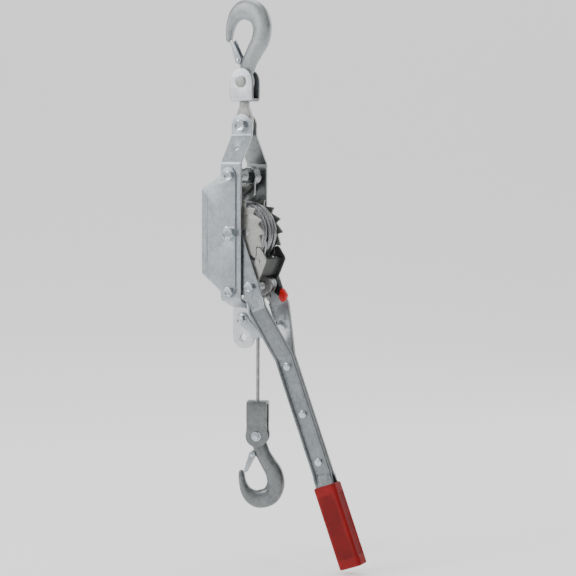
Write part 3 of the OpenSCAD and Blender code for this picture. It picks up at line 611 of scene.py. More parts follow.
def hook_mesh(name, k, place, body, mat, slotname, rep):
    st = catmull([tuple(q * k for q in s) for s in HOOK], 8)
    m = 36
    d = np.gradient(st[:, :2], axis=0); d /= np.linalg.norm(d, axis=1)[:, None]
    th = 2 * np.pi * np.arange(m) / m
    c, s = np.cos(th), np.sin(th)
    # slightly squared section, flatter on its sides as drop forgings are
    e = 2.35
    c2 = np.sign(c) * np.abs(c) ** (2 / e); s2 = np.sign(s) * np.abs(s) ** (2 / e)
    v = []
    for (x, z, a, b), (dx, dz) in zip(st, d):
        w = 0.5 * (1 + np.cos(th))         # the inner, bearing side is rounder and thicker than the back
        yy = s2 * b * (1 - 0.10 * w)
        v.append(np.stack([x + dz * c2 * a, yy, z - dx * c2 * a], 1))
    v = np.concatenate(v)
    k2 = len(st)
    f = [(i * m + j, i * m + (j + 1) % m, (i + 1) * m + (j + 1) % m, (i + 1) * m + j) for i in range(k2 - 1) for j in range(m)]
    f += [tuple(range(m - 1, -1, -1)), tuple((k2 - 1) * m + j for j in range(m))]
    bag = Bag().add((v, f))
    eye = lathe([(1e-3, -5.35 * k), (11.5 * k, -5.35 * k), (13.1 * k, -4.5 * k), (13.9 * k, -2.6 * k), (14.05 * k, 0), (13.9 * k, 2.6 * k), (13.1 * k, 4.5 * k), (11.5 * k, 5.35 * k), (1e-3, 5.35 * k)], 0, 0, 56)
    bag.add(eye)
    lug = plateXZ([round_poly([(-10.6 * k, 24.4 * k), (3 * k, 15 * k), (8 * k, 27 * k), (-6.6 * k, 31.0 * k)], [3.4 * k, 1, 1, 3.4 * k], 6)], -3.1, 3.1, 0.8)
    bag.add(lug)
    vv, ff = bag.out()
    me = bpy.data.meshes.new("tmp"); me.from_pydata([tuple(p) for p in vv], [], ff)
    bm = bmesh.new(); bm.from_mesh(me); bmesh.ops.recalc_face_normals(bm, faces=bm.faces); bm.to_mesh(me); bm.free()
    ob = bpy.data.objects.new("tmp", me); bpy.context.scene.collection.objects.link(ob)
    md = ob.modifiers.new("r", "REMESH"); md.mode = "VOXEL"; md.voxel_size = 0.95; md.adaptivity = 0
    sm = ob.modifiers.new("s", "CORRECTIVE_SMOOTH") if False else ob.modifiers.new("s", "SMOOTH")
    sm.factor = 0.5; sm.iterations = 7
    bpy.context.view_layer.update()
    dg = bpy.context.evaluated_depsgraph_get()
    me2 = bpy.data.meshes.new_from_object(ob.evaluated_get(dg))
    v = np.array([p.co for p in me2.vertices], float); f = [tuple(p.vertices) for p in me2.polygons]
    bpy.data.objects.remove(ob); bpy.data.meshes.remove(me); bpy.data.meshes.remove(me2)
    v, f = place((v, f))
    return to_object(name, v, f, body, mat, rep, slotname, True, 180)

def top_place(vf):
    v, f = vf
    v = np.asarray(v, float).copy(); v[:, 2] += 190.0
    return v, f

def low_place(vf):
    v, f = vf
    v = np.asarray(v, float).copy(); v[:, 2] = LPZ - v[:, 2]
    return low_frame((v, [tuple(reversed(q)) for q in f]))

def latch_parts(k):
    """Two flanks and the web that joins their outer edges, formed from one strip."""
    p0, p1 = np.array([-7.0, 27.0]) * k, np.array([-16.6, 51.0]) * k
    d = unit(p1 - p0); n = np.array([-d[1], d[0]])     # n points to the -X, outer side
    if n[0] > 0: n = -n
    r0, r1 = 4.6 * k, 2.1 * k
    a0 = math.degrees(math.atan2(-n[1], -n[0]))
    an = math.degrees(math.atan2(n[1], n[0]))
    out = []
    for i in range(13):
        t = math.radians(an + (180) * i / 12) if True else 0
        out.append(tuple(p0 + r0 * np.array([math.cos(t), math.sin(t)])))
    for i in range(11):
        t = math.radians(an + 180 + 180 * i / 10)
        out.append(tuple(p1 + r1 * np.array([math.cos(t), math.sin(t)])))
    b = Bag()
    b.add(plateXZ([out, circle(p0[0], p0[1], 1.9, 20)], -5.2, -3.95, 0.25))
    b.add(plateXZ([out, circle(p0[0], p0[1], 1.9, 20)], 3.95, 5.2, 0.25))
    # web: an arched strip between the flanks along the outer edge
    rows = []
    for t in np.linspace(0.16, 1.0, 18):
        c = p0 + (p1 - p0) * t; r = r0 + (r1 - r0) * t
        o = c + n * (r - 0.05); i_ = c + n * (r - 1.25)
        row = []
        for y in np.linspace(-5.0, 5.0, 9):
            arch = 0.7 * (1 - (y / 5.0) ** 4) * (1 if t < 0.93 else 0.4)
            edge = 0.75 * (abs(y) / 5.0) ** 6
            q = o + n * (arch * 0.35 - edge)
            row.append((q[0], y, q[1]))
        for y in np.linspace(5.0, -5.0, 9):
            row.append((i_[0], y * 0.97, i_[1]))
        rows.append(row)
    v = np.array(rows).reshape(-1, 3); m = 18; kk = len(rows)
    f = [(i * m + j, i * m + (j + 1) % m, (i + 1) * m + (j + 1) % m, (i + 1) * m + j) for i in range(kk - 1) for j in range(m)]
    f += [tuple(range(m)), tuple((kk - 1) * m + j for j in range(m))]
    b.add((v, f))
    return b.out()

def latch_pin(k):
    x, z = -7.0 * k, 27.0 * k
    b = Bag()
    b.add(lathe([(1e-3, -6.35), (1.6, -6.35), (2.5, -6.0), (2.7, -5.55), (2.65, -5.25), (1.85, -5.2), (1.85, 5.2), (2.65, 5.25), (2.7, 5.55), (2.5, 6.0), (1.6, 6.35), (1e-3, 6.35)], x, z, 32))
    return b.out()

hook_mesh("top_hook_forging", 1.0, top_place, "hook_top", FORGED, "forged_steel", ("top_hook",))
# lower hook in the darker copy of the galvanised forging: painted shade
hook_mesh("lower_hook_forging", 0.92, low_place, "hook_low", FORGED_LOW_SHADE, "dark_forged", ("lower_hook",))
v, f = top_place(latch_parts(1.0)); to_object("top_latch_channel", v, f, "latch_top", ZINC, ("top_latch",), "zinc_sheet")
v, f = low_place(latch_parts(0.92)); to_object("lower_latch_channel", v, f, "latch_low", ZINC, ("lower_latch",), "zinc_sheet")
v, f = top_place(latch_pin(1.0)); to_object("top_latch_rivet", v, f, "hook_top", BOLT, ("top_latch_pin",), "bolt_zinc")
v, f = low_place(latch_pin(0.92)); to_object("lower_latch_rivet", v, f, "hook_low", BOLT, ("lower_latch_pin",), "bolt_zinc")
for nm, pl, k, body in (("top", top_place, 1.0, "hook_top"), ("lower", low_place, 0.92, "hook_low")):
    p = spring_y(2.9, 0.35, 3.35, 3.62, 0.9, -7 * k, 27 * k, 20)
    v, f = pl(tube(p, 0.3, 8, True)); to_object(nm + "_latch_coil", v, f, body, SPRING, (nm + "_latch_spring",), "dark_steel")

# ------------------------------------------------------------------ top clevis, rivet, stud
TC = Path2([(-7.7, 190.0), (-7.7, 167.0), (7.7, 167.0), (7.7, 190.0)], 4.6, 10)
def top_clevis():
    L = TC.s[-1]
    lp = []
    lp += arc(0, 0, 17, 180, 360, 25)
    lp += arc(0, L, 17, 0, 180, 25)
    loops = [lp, circle(0, 0, 5.05, 32), circle(0, L, 5.05, 32)]
    return bent_plate(loops, TC, 4.0, 0.7, 3)
# the whole top clevis in the paler zinc copy (painted highlight)
v, f = top_clevis(); o = to_object("top_clevis_strap", v, f, "clevis_top", ZINC_HIGHLIGHT, ("top_clevis",), "zinc_sheet", True, 40)
# its faces turned to +X and the far leg's inner face in the dark edge material: painted shade
paint(o, EDGE_AND_SHADE, lambda p: p.normal.x > 0.7 or (p.normal.y < -0.5 and p.center.y > 0))
def rivet(r, hr, y0, y1, h, x, z, dome=0.25):
    return lathe([(1e-3, y0 - h), (hr * 0.45, y0 - h + 0.02), (hr * 0.8, y0 - h + dome * 0.4), (hr * 0.96, y0 - h + dome * 1.4), (hr, y0 - h * 0.45), (hr * 0.99, y0 - 0.02), (r, y0), (r, y1),
                  (hr * 0.99, y1 + 0.02), (hr, y1 + h * 0.45), (hr * 0.96, y1 + h - dome * 1.4), (hr * 0.8, y1 + h - dome * 0.4), (hr * 0.45, y1 + h - 0.02), (1e-3, y1 + h)], x, z, 48)
v, f = rivet(5, 7.2, -9.75, 9.75, 2.3, 0, 190, 0.3); to_object("top_rivet", v, f, "clevis_top", STUD, ("top_hook_rivet",), "bolt_zinc", True, 30)

def stud():
    b = Bag()
    # turned head, neck and collar about Z
    prof = [(1e-3, 174.7), (4.2, 174.7), (5.1, 174.3), (5.5, 173.5), (5.5, 171.4), (5.3, 171.1), (4.4, 171.0), (4.4, 165.2), (6.0, 164.9), (6.5, 164.6), (6.7, 163.6), (6.6, 161.6), (6.2, 160.7), (5.2, 158.5), (1e-3, 158.5)]
    n = 48; v = []; kk = len(prof)
    for i in range(n):
        a = 2 * math.pi * i / n
        v += [(r * math.cos(a), r * math.sin(a), z) for r, z in prof]
    f = [(i * kk + q, i * kk + q + 1, ((i + 1) % n) * kk + q + 1, ((i + 1) % n) * kk + q) for i in range(n) for q in range(kk - 1)]
    b.add((np.array(v), f))
    lp = [(-5.6, 161.2)] + [(-6.6, 158.0), (-8.2, 153.6), (-9.8, 149.8), (-11.4, 146.0), (-12.4, 142.0)] + arc(0, 135, 13, 170, 370, 30) + [(12.4, 142.0), (11.4, 146.0), (9.8, 149.8), (8.2, 153.6), (6.6, 158.0), (5.6, 161.2)]
    b.add(plateXZ([lp], -3.6, 3.6, 0.9, 3))
    return b.out()
v, f = stud(); to_object("swivel_stud_forging", v, f, "stud", STUD, ("swivel_stud",), "forged_steel", True, 35)

# ------------------------------------------------------------------ side straps
SP = Path2([(EAR_I + 1.5, 155.0), (EAR_I + 1.5, 122.6), (FI + 1.5, 87.5), (FI + 1.5, -84.0), (1.6, -95.6), (1.6, -155.0)], 5.0, 9)
def side_strap(vent):
    se, sb = SP.of_z(135.0), SP.of_z(-134.0)
    lp = arc(0, se, 15, 180, 360, 29) + arc(0, sb, 15, 0, 180, 29)
    def hole(z, r, n=32): return circle(0, SP.of_z(z), r, n)
    loops = [lp, hole(135, 5.05)] + ([hole(105.2, 3.2, 24)] if vent else []) + [hole(72, 4.05), hole(0, 5.05), hole(-74, 4.05), hole(-111, 4.05), hole(-135, 5.4, 40)]
    return bent_plate(loops, SP, 3.0, 0.45, 2)
far = side_strap(False)
near = mirror_y(side_strap(True))
# far strap in the darker zinc copy: painted shade
to_object("far_strap", *far, "frame", ZINC_FAR_SHADE, ("far_side_plate",), "zinc_sheet", True, 40)
o = to_object("near_strap", *near, "frame", ZINC, ("near_side_plate",), "zinc_sheet", True, 40)
# lower end of the near strap in the paler zinc copy: painted highlight
paint(o, ZINC_HIGHLIGHT, lambda p: p.center.z * 1000 - AX < -95.0)
# its sheet edges turned to +X, down the middle, in the dark edge material: painted shade
paint(o, EDGE_AND_SHADE, lambda p: p.normal.x > 0.8 and -90.0 < p.center.z * 1000 - AX < 88.0)

# ------------------------------------------------------------------ drum guard
def guard():
    lp = round_poly([(8, 66), (8, -68), (5, -76.5), (0, -82), (-6, -82), (-11.5, -77), (-17, -71), (-42.4, -52), (-42.4, 55), (-15, 71), (-12, 78), (-6, 82.5), (2, 82.5), (7, 77)],
                    [4, 3, 4, 4, 3, 4, 6, 3, 3, 6, 5, 4, 4, 4], 5)
    b = Bag()
    loops = [lp, circle(0, 72, 4.05), circle(0, 0, 5.05), circle(0, -74, 4.05)]
    b.add(plateXZ(loops, -FO - 2.1, -FO - 0.1, 0.35, 2))
    # return flange down the back edge, bent from the same sheet
    path = Path2([(-42.4 + 9, -FO - 1.1), (-42.4 + 1.0, -FO - 1.1), (-42.4 + 1.0, -FO + 5.4)], 2.2, 7)
    rows = []
    sy = np.linspace(0, path.s[-1], 30)
    sy = sorted(set(list(np.round(path.s, 4)) + list(np.round(sy, 4))))
    m = 0
    zs = np.concatenate([[-51.2, -50.8], np.linspace(-50, 53, 8), [53.8, 54.2]])
    for z in zs:
        row = []
        inset = 0.25 if z in (zs[0], zs[-1]) else 0.0
        X, Y, TX, TY = path.at(np.array(sy))
        for x, y, tx, ty in zip(X, Y, TX, TY):
            row.append((x + (-ty) * (1.0 - inset), y + tx * (1.0 - inset), z))
        for x, y, tx, ty in list(zip(X, Y, TX, TY))[::-1]:
            row.append((x - (-ty) * (1.0 - inset), y - tx * (1.0 - inset), z))
        rows.append(row); m = len(row)
    v = np.array(rows).reshape(-1, 3); kk = len(rows)
    f = [(i * m + j, i * m + (j + 1) % m, (i + 1) * m + (j + 1) % m, (i + 1) * m + j) for i in range(kk - 1) for j in range(m)]
    f += [tuple(range(m)), tuple((kk - 1) * m + j for j in range(m))]
    b.add((v, f))
    return b.out()
v, f = guard(); to_object("guard_plate", v, f, "frame", ZINC, ("drum_guard",), "zinc_sheet", True, 40)
# far guard in the darker zinc copy: painted shade
v, f = mirror_y((v, f)); to_object("far_guard_plate", v, f, "frame", ZINC_FAR_SHADE, ("far_guard",), "zinc_sheet", True, 40)

# ------------------------------------------------------------------ bolts and nuts
def bolt(name, x, z, r, y_head, h, across, y_nut, nh, tail, rot, rep, body="frame", head=True):
    b = Bag()
    b.add(hex_head(x, z, y_head, y_head - h, across, rot))
    b.add(shank(r, y_head - 0.2, y_nut + nh * 0.5, x, z))
    b.add(hex_head(x, z, y_nut, y_nut + nh, across, rot + 0.4, dish=0.1))
    b.add(thread(r, y_nut + nh * 0.4, y_nut + nh + tail, x, z))
    v, f = b.out()
    to_object(name, v, f, body, BOLT, rep, "bolt_zinc", True, 28)
bolt("ear_bolt_set", 0, 135, 5, -EAR_O - 0.05, 6.4, 16.4, EAR_O + 0.05, 6.6, 2.0, 0.26, ("ear_bolt",))
bolt("axle_bolt_set", 0, 0, 5, -FO - 2.15, 6.9, 18.6, FO + 2.15, 7.8, 1.9, 0.2, ("axle_bolt",))
bolt("upper_bolt_set", 0, 72, 4, -FO - 2.15, 5.3, 13.6, FO + 2.15, 6.0, 1.8, 0.14, ("upper_spacer_bolt",))
bolt("lower_bolt_set", 0, -74, 4, -FO - 2.15, 5.3, 13.6, FO + 2.15, 6.0, 1.8, 0.38, ("lower_spacer_bolt",))
bolt("pawl_bolt_set", PX, PZ, 4, -ARM_O - 0.05, 5.1, 13.6, ARM_O + 0.05, 4.9, 1.2, 0.3, ("drive_pawl_bolt",), "handle")
b = Bag()
b.add(lathe([(1e-3, -5.9), (6.3, -5.9), (6.5, -5.8), (4, -5.8), (4, 11.6), (1e-3, 11.6)], 0, -111, 48))
b.add(hex_head(0, -111, -5.95, -11.4, 11.6, 0.35, washer=False))
b.add(hex_head(0, -111, 3.2, 9.4, 13.6, 0.2, dish=0.1))
v, f = b.out(); to_object("guide_bolt_set", v, f, "frame", BOLT, ("guide_bolt",), "bolt_zinc", True, 28)

# ------------------------------------------------------------------ cable guide
def guide():
    b = Bag()
    a = math.atan2(-0.643, 0.766)
    # strip in its own plane: along u (down to the right), across w
    lp = []
    for t in np.linspace(math.pi / 2, 3 * math.pi / 2, 17):
        lp.append((8.2 * math.cos(t), 8.2 * math.sin(t)))
    lp += [(32.6, -6.3), (32.6, 6.1), (12, 6.4)]
    uu = np.array([math.cos(a), math.sin(a)]); ww = np.array([-uu[1], uu[0]])
    P2 = Path2([(-12, -4.45), (31.2, -4.45), (31.2, 7.2)], 2.6, 8)   # (u, y)
    L = P2.s[-1]
    s0 = 12.0
    lp = [(x_, s0 + y_) for (y_, x_) in lp[:17]]
    loop = [(8.2 * math.sin(t), s0 + 8.2 * math.cos(t)) for t in np.linspace(math.pi / 2, 3 * math.pi / 2, 19)]
    loop = loop[:: -1]
    loop = [(-8.2 * math.cos(q), s0 - 8.2 * math.sin(q)) for q in np.linspace(0, math.pi, 19)]
    loop = loop + [(6.3, s0 + 12), (6.2, L - 1.5), (4.9, L), (-4.9, L), (-6.2, L - 1.5), (-6.3, s0 + 12)]
    v, f = flat_plate([loop, circle(0, s0, 4.05, 28)], 2.4, 0.4, 2)
    v, f = cut_levels(v, f, 1, [float(s) for s in P2.s[1:-1]])
    u, y, tu, ty = P2.at(v[:, 1])
    nu, ny = -ty, tu
    U = u + v[:, 2] * nu; Y = y + v[:, 2] * ny; W = v[:, 0]
    X = U * uu[0] + W * ww[0]; Z = -111 + U * uu[1] + W * ww[1]
    b.add((np.stack([X, Y, Z], 1), f))
    return b.out()
v, f = guide(); to_object("cable_guide_strap", v, f, "frame", ZINC, ("cable_guide",), "zinc_sheet", True, 40)

# ------------------------------------------------------------------ ratchet wheels
def tooth_loop():
    pts = []
    s = 360 / 16
    for i in range(16):
        a = -i * s
        for da, r in ((s - 6.4, 37.4), (s * 0.5, 39.2), (4.2, 42.4), (1.1, 44.0), (0, 44.0), (-2.4, 38.2), (-4.2, 36.8)):
            t = math.radians(a + da); pts.append((r * math.cos(t), r * math.sin(t)))
    rad = [1.2, 6, 2.0, 0.5, 0.4, 1.2, 1.4] * 16
    return round_poly(pts, rad, 3)
loops = [tooth_loop()] + [circle(18 * math.cos(math.radians(q)), 18 * math.sin(math.radians(q)), 3.05, 24) for q in (5, 125, 245)] + [circle(0, 0, 5.06, 32)]
v, f = plateXZ(loops, -WH_O, -WH_I, 0.32, 2); o = to_object("near_wheel", v, f, "drum", WHEEL, ("near_ratchet_wheel",), "wheel_steel", True, 40)
# tooth flanks, rims and hole walls in the dark edge material: darker cut steel with painted shade
paint(o, EDGE_AND_SHADE, lambda p: abs(p.normal.y) < 0.6)
# far wheel in the darker ratchet steel copy: painted shade
v, f = plateXZ(loops, WH_I, WH_O, 0.32, 2); to_object("far_wheel", v, f, "drum", WHEEL_SHADE, ("far_ratchet_wheel",), "wheel_steel", True, 40)
b = Bag()
for q in (5, 125, 245):
    b.add(rivet(3.0, 4.4, -WH_O - 0.05, WH_O + 0.05, 0.85, 18 * math.cos(math.radians(q)), 18 * math.sin(math.radians(q)), 0.3))
v, f = b.out(); to_object("drum_rivet_set", v, f, "drum", PIN, ("drum_rivets",), "bolt_zinc")

# ------------------------------------------------------------------ wire rope
def rope_piece(name, p, body, rep=(), m=24, step=1.25):
    p = resample(p, step)
    v, f = tube(p, ROPE_R, m, True, strand_radius())
    ob = to_object(name, v, f, body, ROPE, rep, "rope_steel", True, 70)
    # how high on its strand each point lies: 0 in a valley, 1 on a crest
    s_ = np.concatenate([[0], np.cumsum(np.linalg.norm(np.diff(p, axis=0), axis=1))])
    th = 2 * np.pi * np.arange(m) / m
    w = np.abs(np.cos(6 * (th[None, :] - 2 * np.pi * s_[:, None] / 27.0) / 2)).reshape(-1)
    a = ob.data.attributes.new("crest", "FLOAT", "POINT")
    n = len(ob.data.vertices)
    print("rope", name, n, len(w))
    a.data.foreach_set("value", np.resize(w, n).astype(np.float32))
    return ob, p

def winding():
    """Two neat layers, then a loose third one whose wraps wander and cross."""
    W = 17.2
    def layer(r, turns, y0, y1, a0):
        n = int(turns * 48)
        t = np.linspace(0, 1, n)
        return a0 + 2 * np.pi * turns * t, np.full(n, r), y0 + (y1 - y0) * t
    A, R, Y = [], [], []
    a, r, y = layer(28.0, 7.5, -W, W, 0.0); A.append(a); R.append(r); Y.append(y)
    a, r, y = layer(32.2, 7.5, W, -W, A[-1][-1] + 0.25); A.append(a); R.append(r); Y.append(y)
    # loose wraps: out to the far wheel, back over themselves, ending a little to the near side
    key = np.array([(0, -16.8), (0.9, -11.5), (1.6, -3.0), (2.4, 4.0), (3.1, 12.5), (3.8, 16.6), (4.4, 12.0), (5.0, 3.5), (5.6, 9.0), (6.3, 14.5), (6.9, 6.0), (7.5, -4.0), (8.1, -11.0), (8.7, -8.4), (9.2, -7.0)])
    n = int(9.2 * 60)
    t = np.linspace(0, 9.2, n)
    y = np.interp(t, key[:, 0], key[:, 1])
    y = np.convolve(np.pad(y, 12, mode="edge"), np.ones(25) / 25, "valid")
    y = y + 0.9 * np.sin(2 * np.pi * t * 1.31 + 0.6) * np.minimum(1, (9.2 - t) * 1.5)
    r = 36.1 + 0.35 * np.sin(2 * np.pi * t * 0.77) + np.interp(t, [0, 3.6, 4.2, 9.2], [0, 0, 1.15, 1.2])
    A.append(A[-1][-1] + 0.3 + 2 * np.pi * t); R.append(r); Y.append(y)
    A, R, Y = map(np.concatenate, (A, R, Y))
    R = np.convolve(np.pad(R, 6, mode="edge"), np.ones(13) / 13, "valid")
    Y = np.clip(Y, -WH_I + 2.9, WH_I - 2.9)
    A = A - A[-1] + math.radians(-15.5)
    return np.stack([R * np.cos(A), Y, R * np.sin(A)], 1)
P = winding()
print("winding length mm", float(np.linalg.norm(np.diff(P, axis=0), axis=1).sum()), "end", P[-1])
coil, cp = rope_piece("rope_winding", P, "drum", ("rope_on_drum",), 18, 1.5)
span = catmull([tuple(P[-3]), tuple(P[-1]), (35.0, -6.6, -17.5), (32.4, -5.2, -26.5), (28.2, -2.2, -38), (24.4, -0.5, -48.5), (21.3, 0, -57.5), (19.5, 0, -67), (19.3, 0, -78), (20.0, 0, -100), (20.8, 0, -118), (RX, 0, GZ)], 10)
spn, sp_ = rope_piece("rope_span_line", span, "frame", ("rope_span",), 24, 1.25)
lead = np.stack([np.full(70, RX), np.zeros(70), np.linspace(GZ + 0.3, -LC - 1.2, 70)], 1)
lv, lp_ = rope_piece("rope_lead_line", lead, None, (), 24, 1.25)
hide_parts("rope_lead")
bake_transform(lv)

# ------------------------------------------------------------------ pawls
def rot2(p, c, deg):
    a = math.radians(deg); x, z = p[0] - c[0], p[1] - c[1]
    return (c[0] + x * math.cos(a) - z * math.sin(a), c[1] + x * math.sin(a) + z * math.cos(a))
def holding():
    fp = [(5.4, 66.4), (-1, 55.6), (-8, 49), (-16, 43.4), (-25, 39.6), (-31.6, 33), (-34.1, 29.8), (-34.8, 23.6), (-34.8, 17.6), (-38.6, 18.4), (-43, 22.4), (-43.6, 28), (-38, 38.4), (-28, 49), (-16, 61.6), (-7.4, 74.6)]
    lp = round_poly([rot2(q, (0, 72), -6) for q in fp], [0, 6, 8, 8, 10, 3, 3, 3, 0.8, 1.5, 4, 8, 10, 12, 10, 0], 4)
    lp = lp[1:-1] + arc(0, 72, 8.0, 158, -50, 26)
    b = Bag()
    hole = circle(0, 72, 5.06, 32)
    b.add(plateXZ([lp, hole], WH_I + 0.2, WH_O - 0.2, 0.35))
    b.add(plateXZ([lp, hole], -WH_O + 0.2, -WH_I - 0.2, 0.35))
    wp = [rot2(q, (0, 72), -6) for q in [(-19, 57.4), (-32.4, 43.6), (-30.6, 41.8), (-17.2, 55.6)]]
    b.add(plateXZ([round_poly(wp, 0.5, 3)], -WH_O + 0.4, WH_O - 0.4, 0.3))
    return b.out()
# pawl in the darker ratchet steel copy (painted shade), its near outer face in the lit copy (painted light), the web
# and rims near black (painted shade)
o = to_object("holding_pawl_forging", *holding(), "holding_pawl", WHEEL_SHADE, ("holding_pawl",), "wheel_steel", True, 40)
paint(o, WHEEL, lambda p: p.normal.y < -0.3 and p.center.y < -0.022)
paint(o, WEB_SHADE, lambda p: abs(p.normal.y) < 0.6)

def drive():
    side = round_poly([(PX - 8.8, PZ + 2), (26.6, -44), (29.4, -34.6), (31.3, -31.7), (33.2, -26.5), (33, -18.8), (36, -16.8), (39.5, -19.2), (47.4, -31), (47.6, -34.2), (40.6, -50), (36.6, -58), (PX + 8.6, PZ - 2.6)],
                      [2, 8, 2, 2, 3, 1.0, 1.2, 2.5, 3, 3, 12, 6, 2], 4)
    # close the lower end round the pivot
    side = [q for q in side if q[1] > PZ + 2.5] 
    side = side + arc(PX, PZ, 9, -17, -165, 24)
    b = Bag()
    pin = circle(34.6, -34.6, 3.45, 24); piv = circle(PX, PZ, 4.06, 28)
    b.add(plateXZ([side, piv, pin], -WH_O + 0.1, -WH_I - 0.1, 0.35))
    b.add(plateXZ([side, piv, pin], WH_I + 0.1, WH_O - 0.1, 0.35))
    # web joining the two arms, set in from their front edges
    outer = catmull([(42.9, -32.2), (40.0, -39.2), (36.1, -48.0), (33.0, -53.8)], 6)
    d = np.gradient(outer, axis=0); d /= np.linalg.norm(d, axis=1)[:, None]
    nrm = np.stack([-d[:, 1], d[:, 0]], 1)
    if nrm[len(nrm) // 2][0] > 0: nrm = -nrm
    Wd = WH_I + 0.8
    ys = np.concatenate([[-Wd, -Wd + 0.25, -Wd + 0.9, -Wd + 2.2], np.linspace(-Wd + 4.5, Wd - 4.5, 9), [Wd - 2.2, Wd - 0.9, Wd - 0.25, Wd]])
    rows = []
    for (x, z), (nx, nz) in zip(outer, nrm):
        row = []
        for y in ys:
            e = Wd - abs(y)
            drop = -1.1 * max(0, 1 - e / 4.0) ** 2
            row.append((x + nx * drop, y, z + nz * drop))
        for y in ys[::-1]:
            row.append((x + nx * 2.6, y, z + nz * 2.6))
        rows.append(row)
    m = len(rows[0]); v = np.array(rows).reshape(-1, 3); kk = len(rows)
    f = [(i * m + j, i * m + (j + 1) % m, (i + 1) * m + (j + 1) % m, (i + 1) * m + j) for i in range(kk - 1) for j in range(m)]
    f += [tuple(range(m)), tuple((kk - 1) * m + j for j in range(m))]
    b.add((v, f))
    lev = round_poly([(PX + 3, PZ - 8.6), (PX + 8.6, PZ + 2), (44, -70.6), (49.4, -77.6), (44, -86), (37.4, -80.4)], [1, 1, 3, 2.5, 2.5, 2], 4)
    b.add(plateXZ([lev], WH_I + 0.12, WH_O - 0.12, 0.35))
    return b.out()
# pawl in the darker ratchet steel copy (painted shade), its near outer face in the lit copy (painted light), the web,
# rims and far arm's inner face near black (painted shade)
o = to_object("drive_pawl_channel", *drive(), "drive_pawl", WHEEL_SHADE, ("drive_pawl",), "wheel_steel", True, 40)
paint(o, WHEEL, lambda p: p.normal.y < -0.3 and p.center.y < -0.022)
paint(o, WEB_SHADE, lambda p: abs(p.normal.y) < 0.6 or p.normal.y < -0.3 and p.center.y > 0)
v, f = rivet(3.0, 3.0, -WH_O - 0.1, WH_O + 0.1, 0.28, 34.6, -34.6, 0.1); to_object("pawl_pin", v, f, "drive_pawl", PIN, ("pawl_cross_pin",), "bolt_zinc")

def cap():
    """Dipped vinyl cap: a soft rounded blob with a rim."""
    cy = (WH_I + WH_O) / 2
    lp = round_poly([(41.6, -71.2), (46.6, -71.0), (52.4, -79.0), (51.2, -84.8), (44.0, -89.4), (39.2, -84.4)], 3.2, 6)
    v, f = plateXZ([lp], cy - 4.2, cy + 2.8, 2.9, 7)
    return v, f
v, f = cap(); to_object("release_cap_vinyl", v, f, "drive_pawl", CAP_M, ("release_cap",), "red_cap", True, 60)

def sleeve():
    b = Bag()
    b.add(lathe([(4.06, 3.6), (10.9, 3.6), (11.9, 4.0), (12.3, 4.7), (12.3, 7.4), (11.9, 7.9), (11.9, 13.0), (12.3, 13.5), (12.3, 16.6), (11.6, 17.5), (4.06, 17.5)], PX, PZ, 64))
    lp = round_poly([(PX - 5, PZ - 6), (PX + 6, PZ - 6), (34.6, -80), (32, -83.6), (28, -82.4)], [0, 0, 2.5, 2.5, 2.5], 4)
    b.add(plateXZ([lp], 6.4, 9.6, 0.5))
    # ball end
    n, k = 24, 14
    v = []
    for i in range(k + 1):
        ph = math.pi * i / k
        for j in range(n):
            a = 2 * math.pi * j / n
            v.append((31.4 + 3.5 * math.sin(ph) * math.cos(a), 8 + 3.5 * math.cos(ph), -81.4 + 3.5 * math.sin(ph) * math.sin(a)))
    f = [(i * n + j, i * n + (j + 1) % n, (i + 1) * n + (j + 1) % n, (i + 1) * n + j) for i in range(k) for j in range(n)]
    b.add((np.array(v), f))
    return b.out()
v, f = sleeve(); o = to_object("pawl_sleeve", v, f, "drive_pawl", DARK, ("drive_pawl_sleeve",), "dark_steel", True, 35)
# near faces of the sleeve in a lighter steel: painted highlight on the lit side
paint(o, STUD, lambda p: p.normal.y < -0.25)

# ------------------------------------------------------------------ springs
def coil_obj(name, p, w, body, rep, mat=SPRING, m=10):
    v, f = tube(p, w, m, True, None, True)
    return to_object(name, v, f, body, mat, rep, "dark_steel", True, 60)
p = spring_y(8.3, 1.0, -WH_I + 1.6, -3.6, 6.5, 0, 72, 0)
coil_obj("small_coil", p, 1.0, "frame", ("holding_pawl_spring",))
p = spring_y(10.5, 1.2, 9.4, 19.2, 4, 0, 72, 0, 1.9)
leg = np.array([[9.2, 9.4, 46.6], [9.7, 9.4, 55.0], [10.25, 9.4, 65.0], [10.47, 9.4, 70.0]])
coil_obj("large_coil", np.vstack([resample(leg, 1.5), p[1:]]), 1.12, "frame", ("pawl_return_spring",))
p = spring_y(6.4, 0.9, -18.8, -3.8, 7, PX, PZ, 30)
coil_obj("drive_coil", p, 0.9, "handle", ("drive_pawl_spring",))
def link():
    b = Bag()
    a, c = np.array([32.2, 8.0, -86.0]), np.array([42.6, 6.2, -111.5])
    d = c - a; L = np.linalg.norm(d); t = d / L
    n1 = unit(np.cross(t, [0, 1, 0])); n2 = np.cross(t, n1)
    # eye, shank, close coil, shank
    eye = [a + n1 * 2.2 * math.cos(q) - t * 2.2 * (1 - math.sin(q)) * 0.8 for q in np.linspace(-math.pi / 2, 3 * math.pi / 2 - 0.4, 26)]
    b.add(tube(np.array(eye), 0.6, 8, True, None, True))
    b.add(tube(resample(np.array([a, a + t * 6.0]), 1.0), 0.6, 8))
    s = np.linspace(0, 1, 15 * 16 + 1)
    hel = a + np.outer(5.0 + s * (L - 10.0), t) + np.outer(1.7 * np.cos(2 * np.pi * 15 * s), n1) + np.outer(1.7 * np.sin(2 * np.pi * 15 * s), n2)
    b.add(tube(hel, 0.52, 7))
    b.add(tube(resample(np.array([c - t * 6.0, c]), 1.0), 0.6, 8, True, None, True))
    return b.out()
v, f = link(); to_object("link_spring_wire", v, f, "handle", SPRING, ("link_spring",), "dark_steel", True, 60)
v, f = disc(2.5, 3.4, 20.4, 0, -123, 0.5, 32); v, f = hframe((v, f)); to_object("link_pin", v, f, "handle", BOLT, ("link_anchor_pin",), "bolt_zinc")

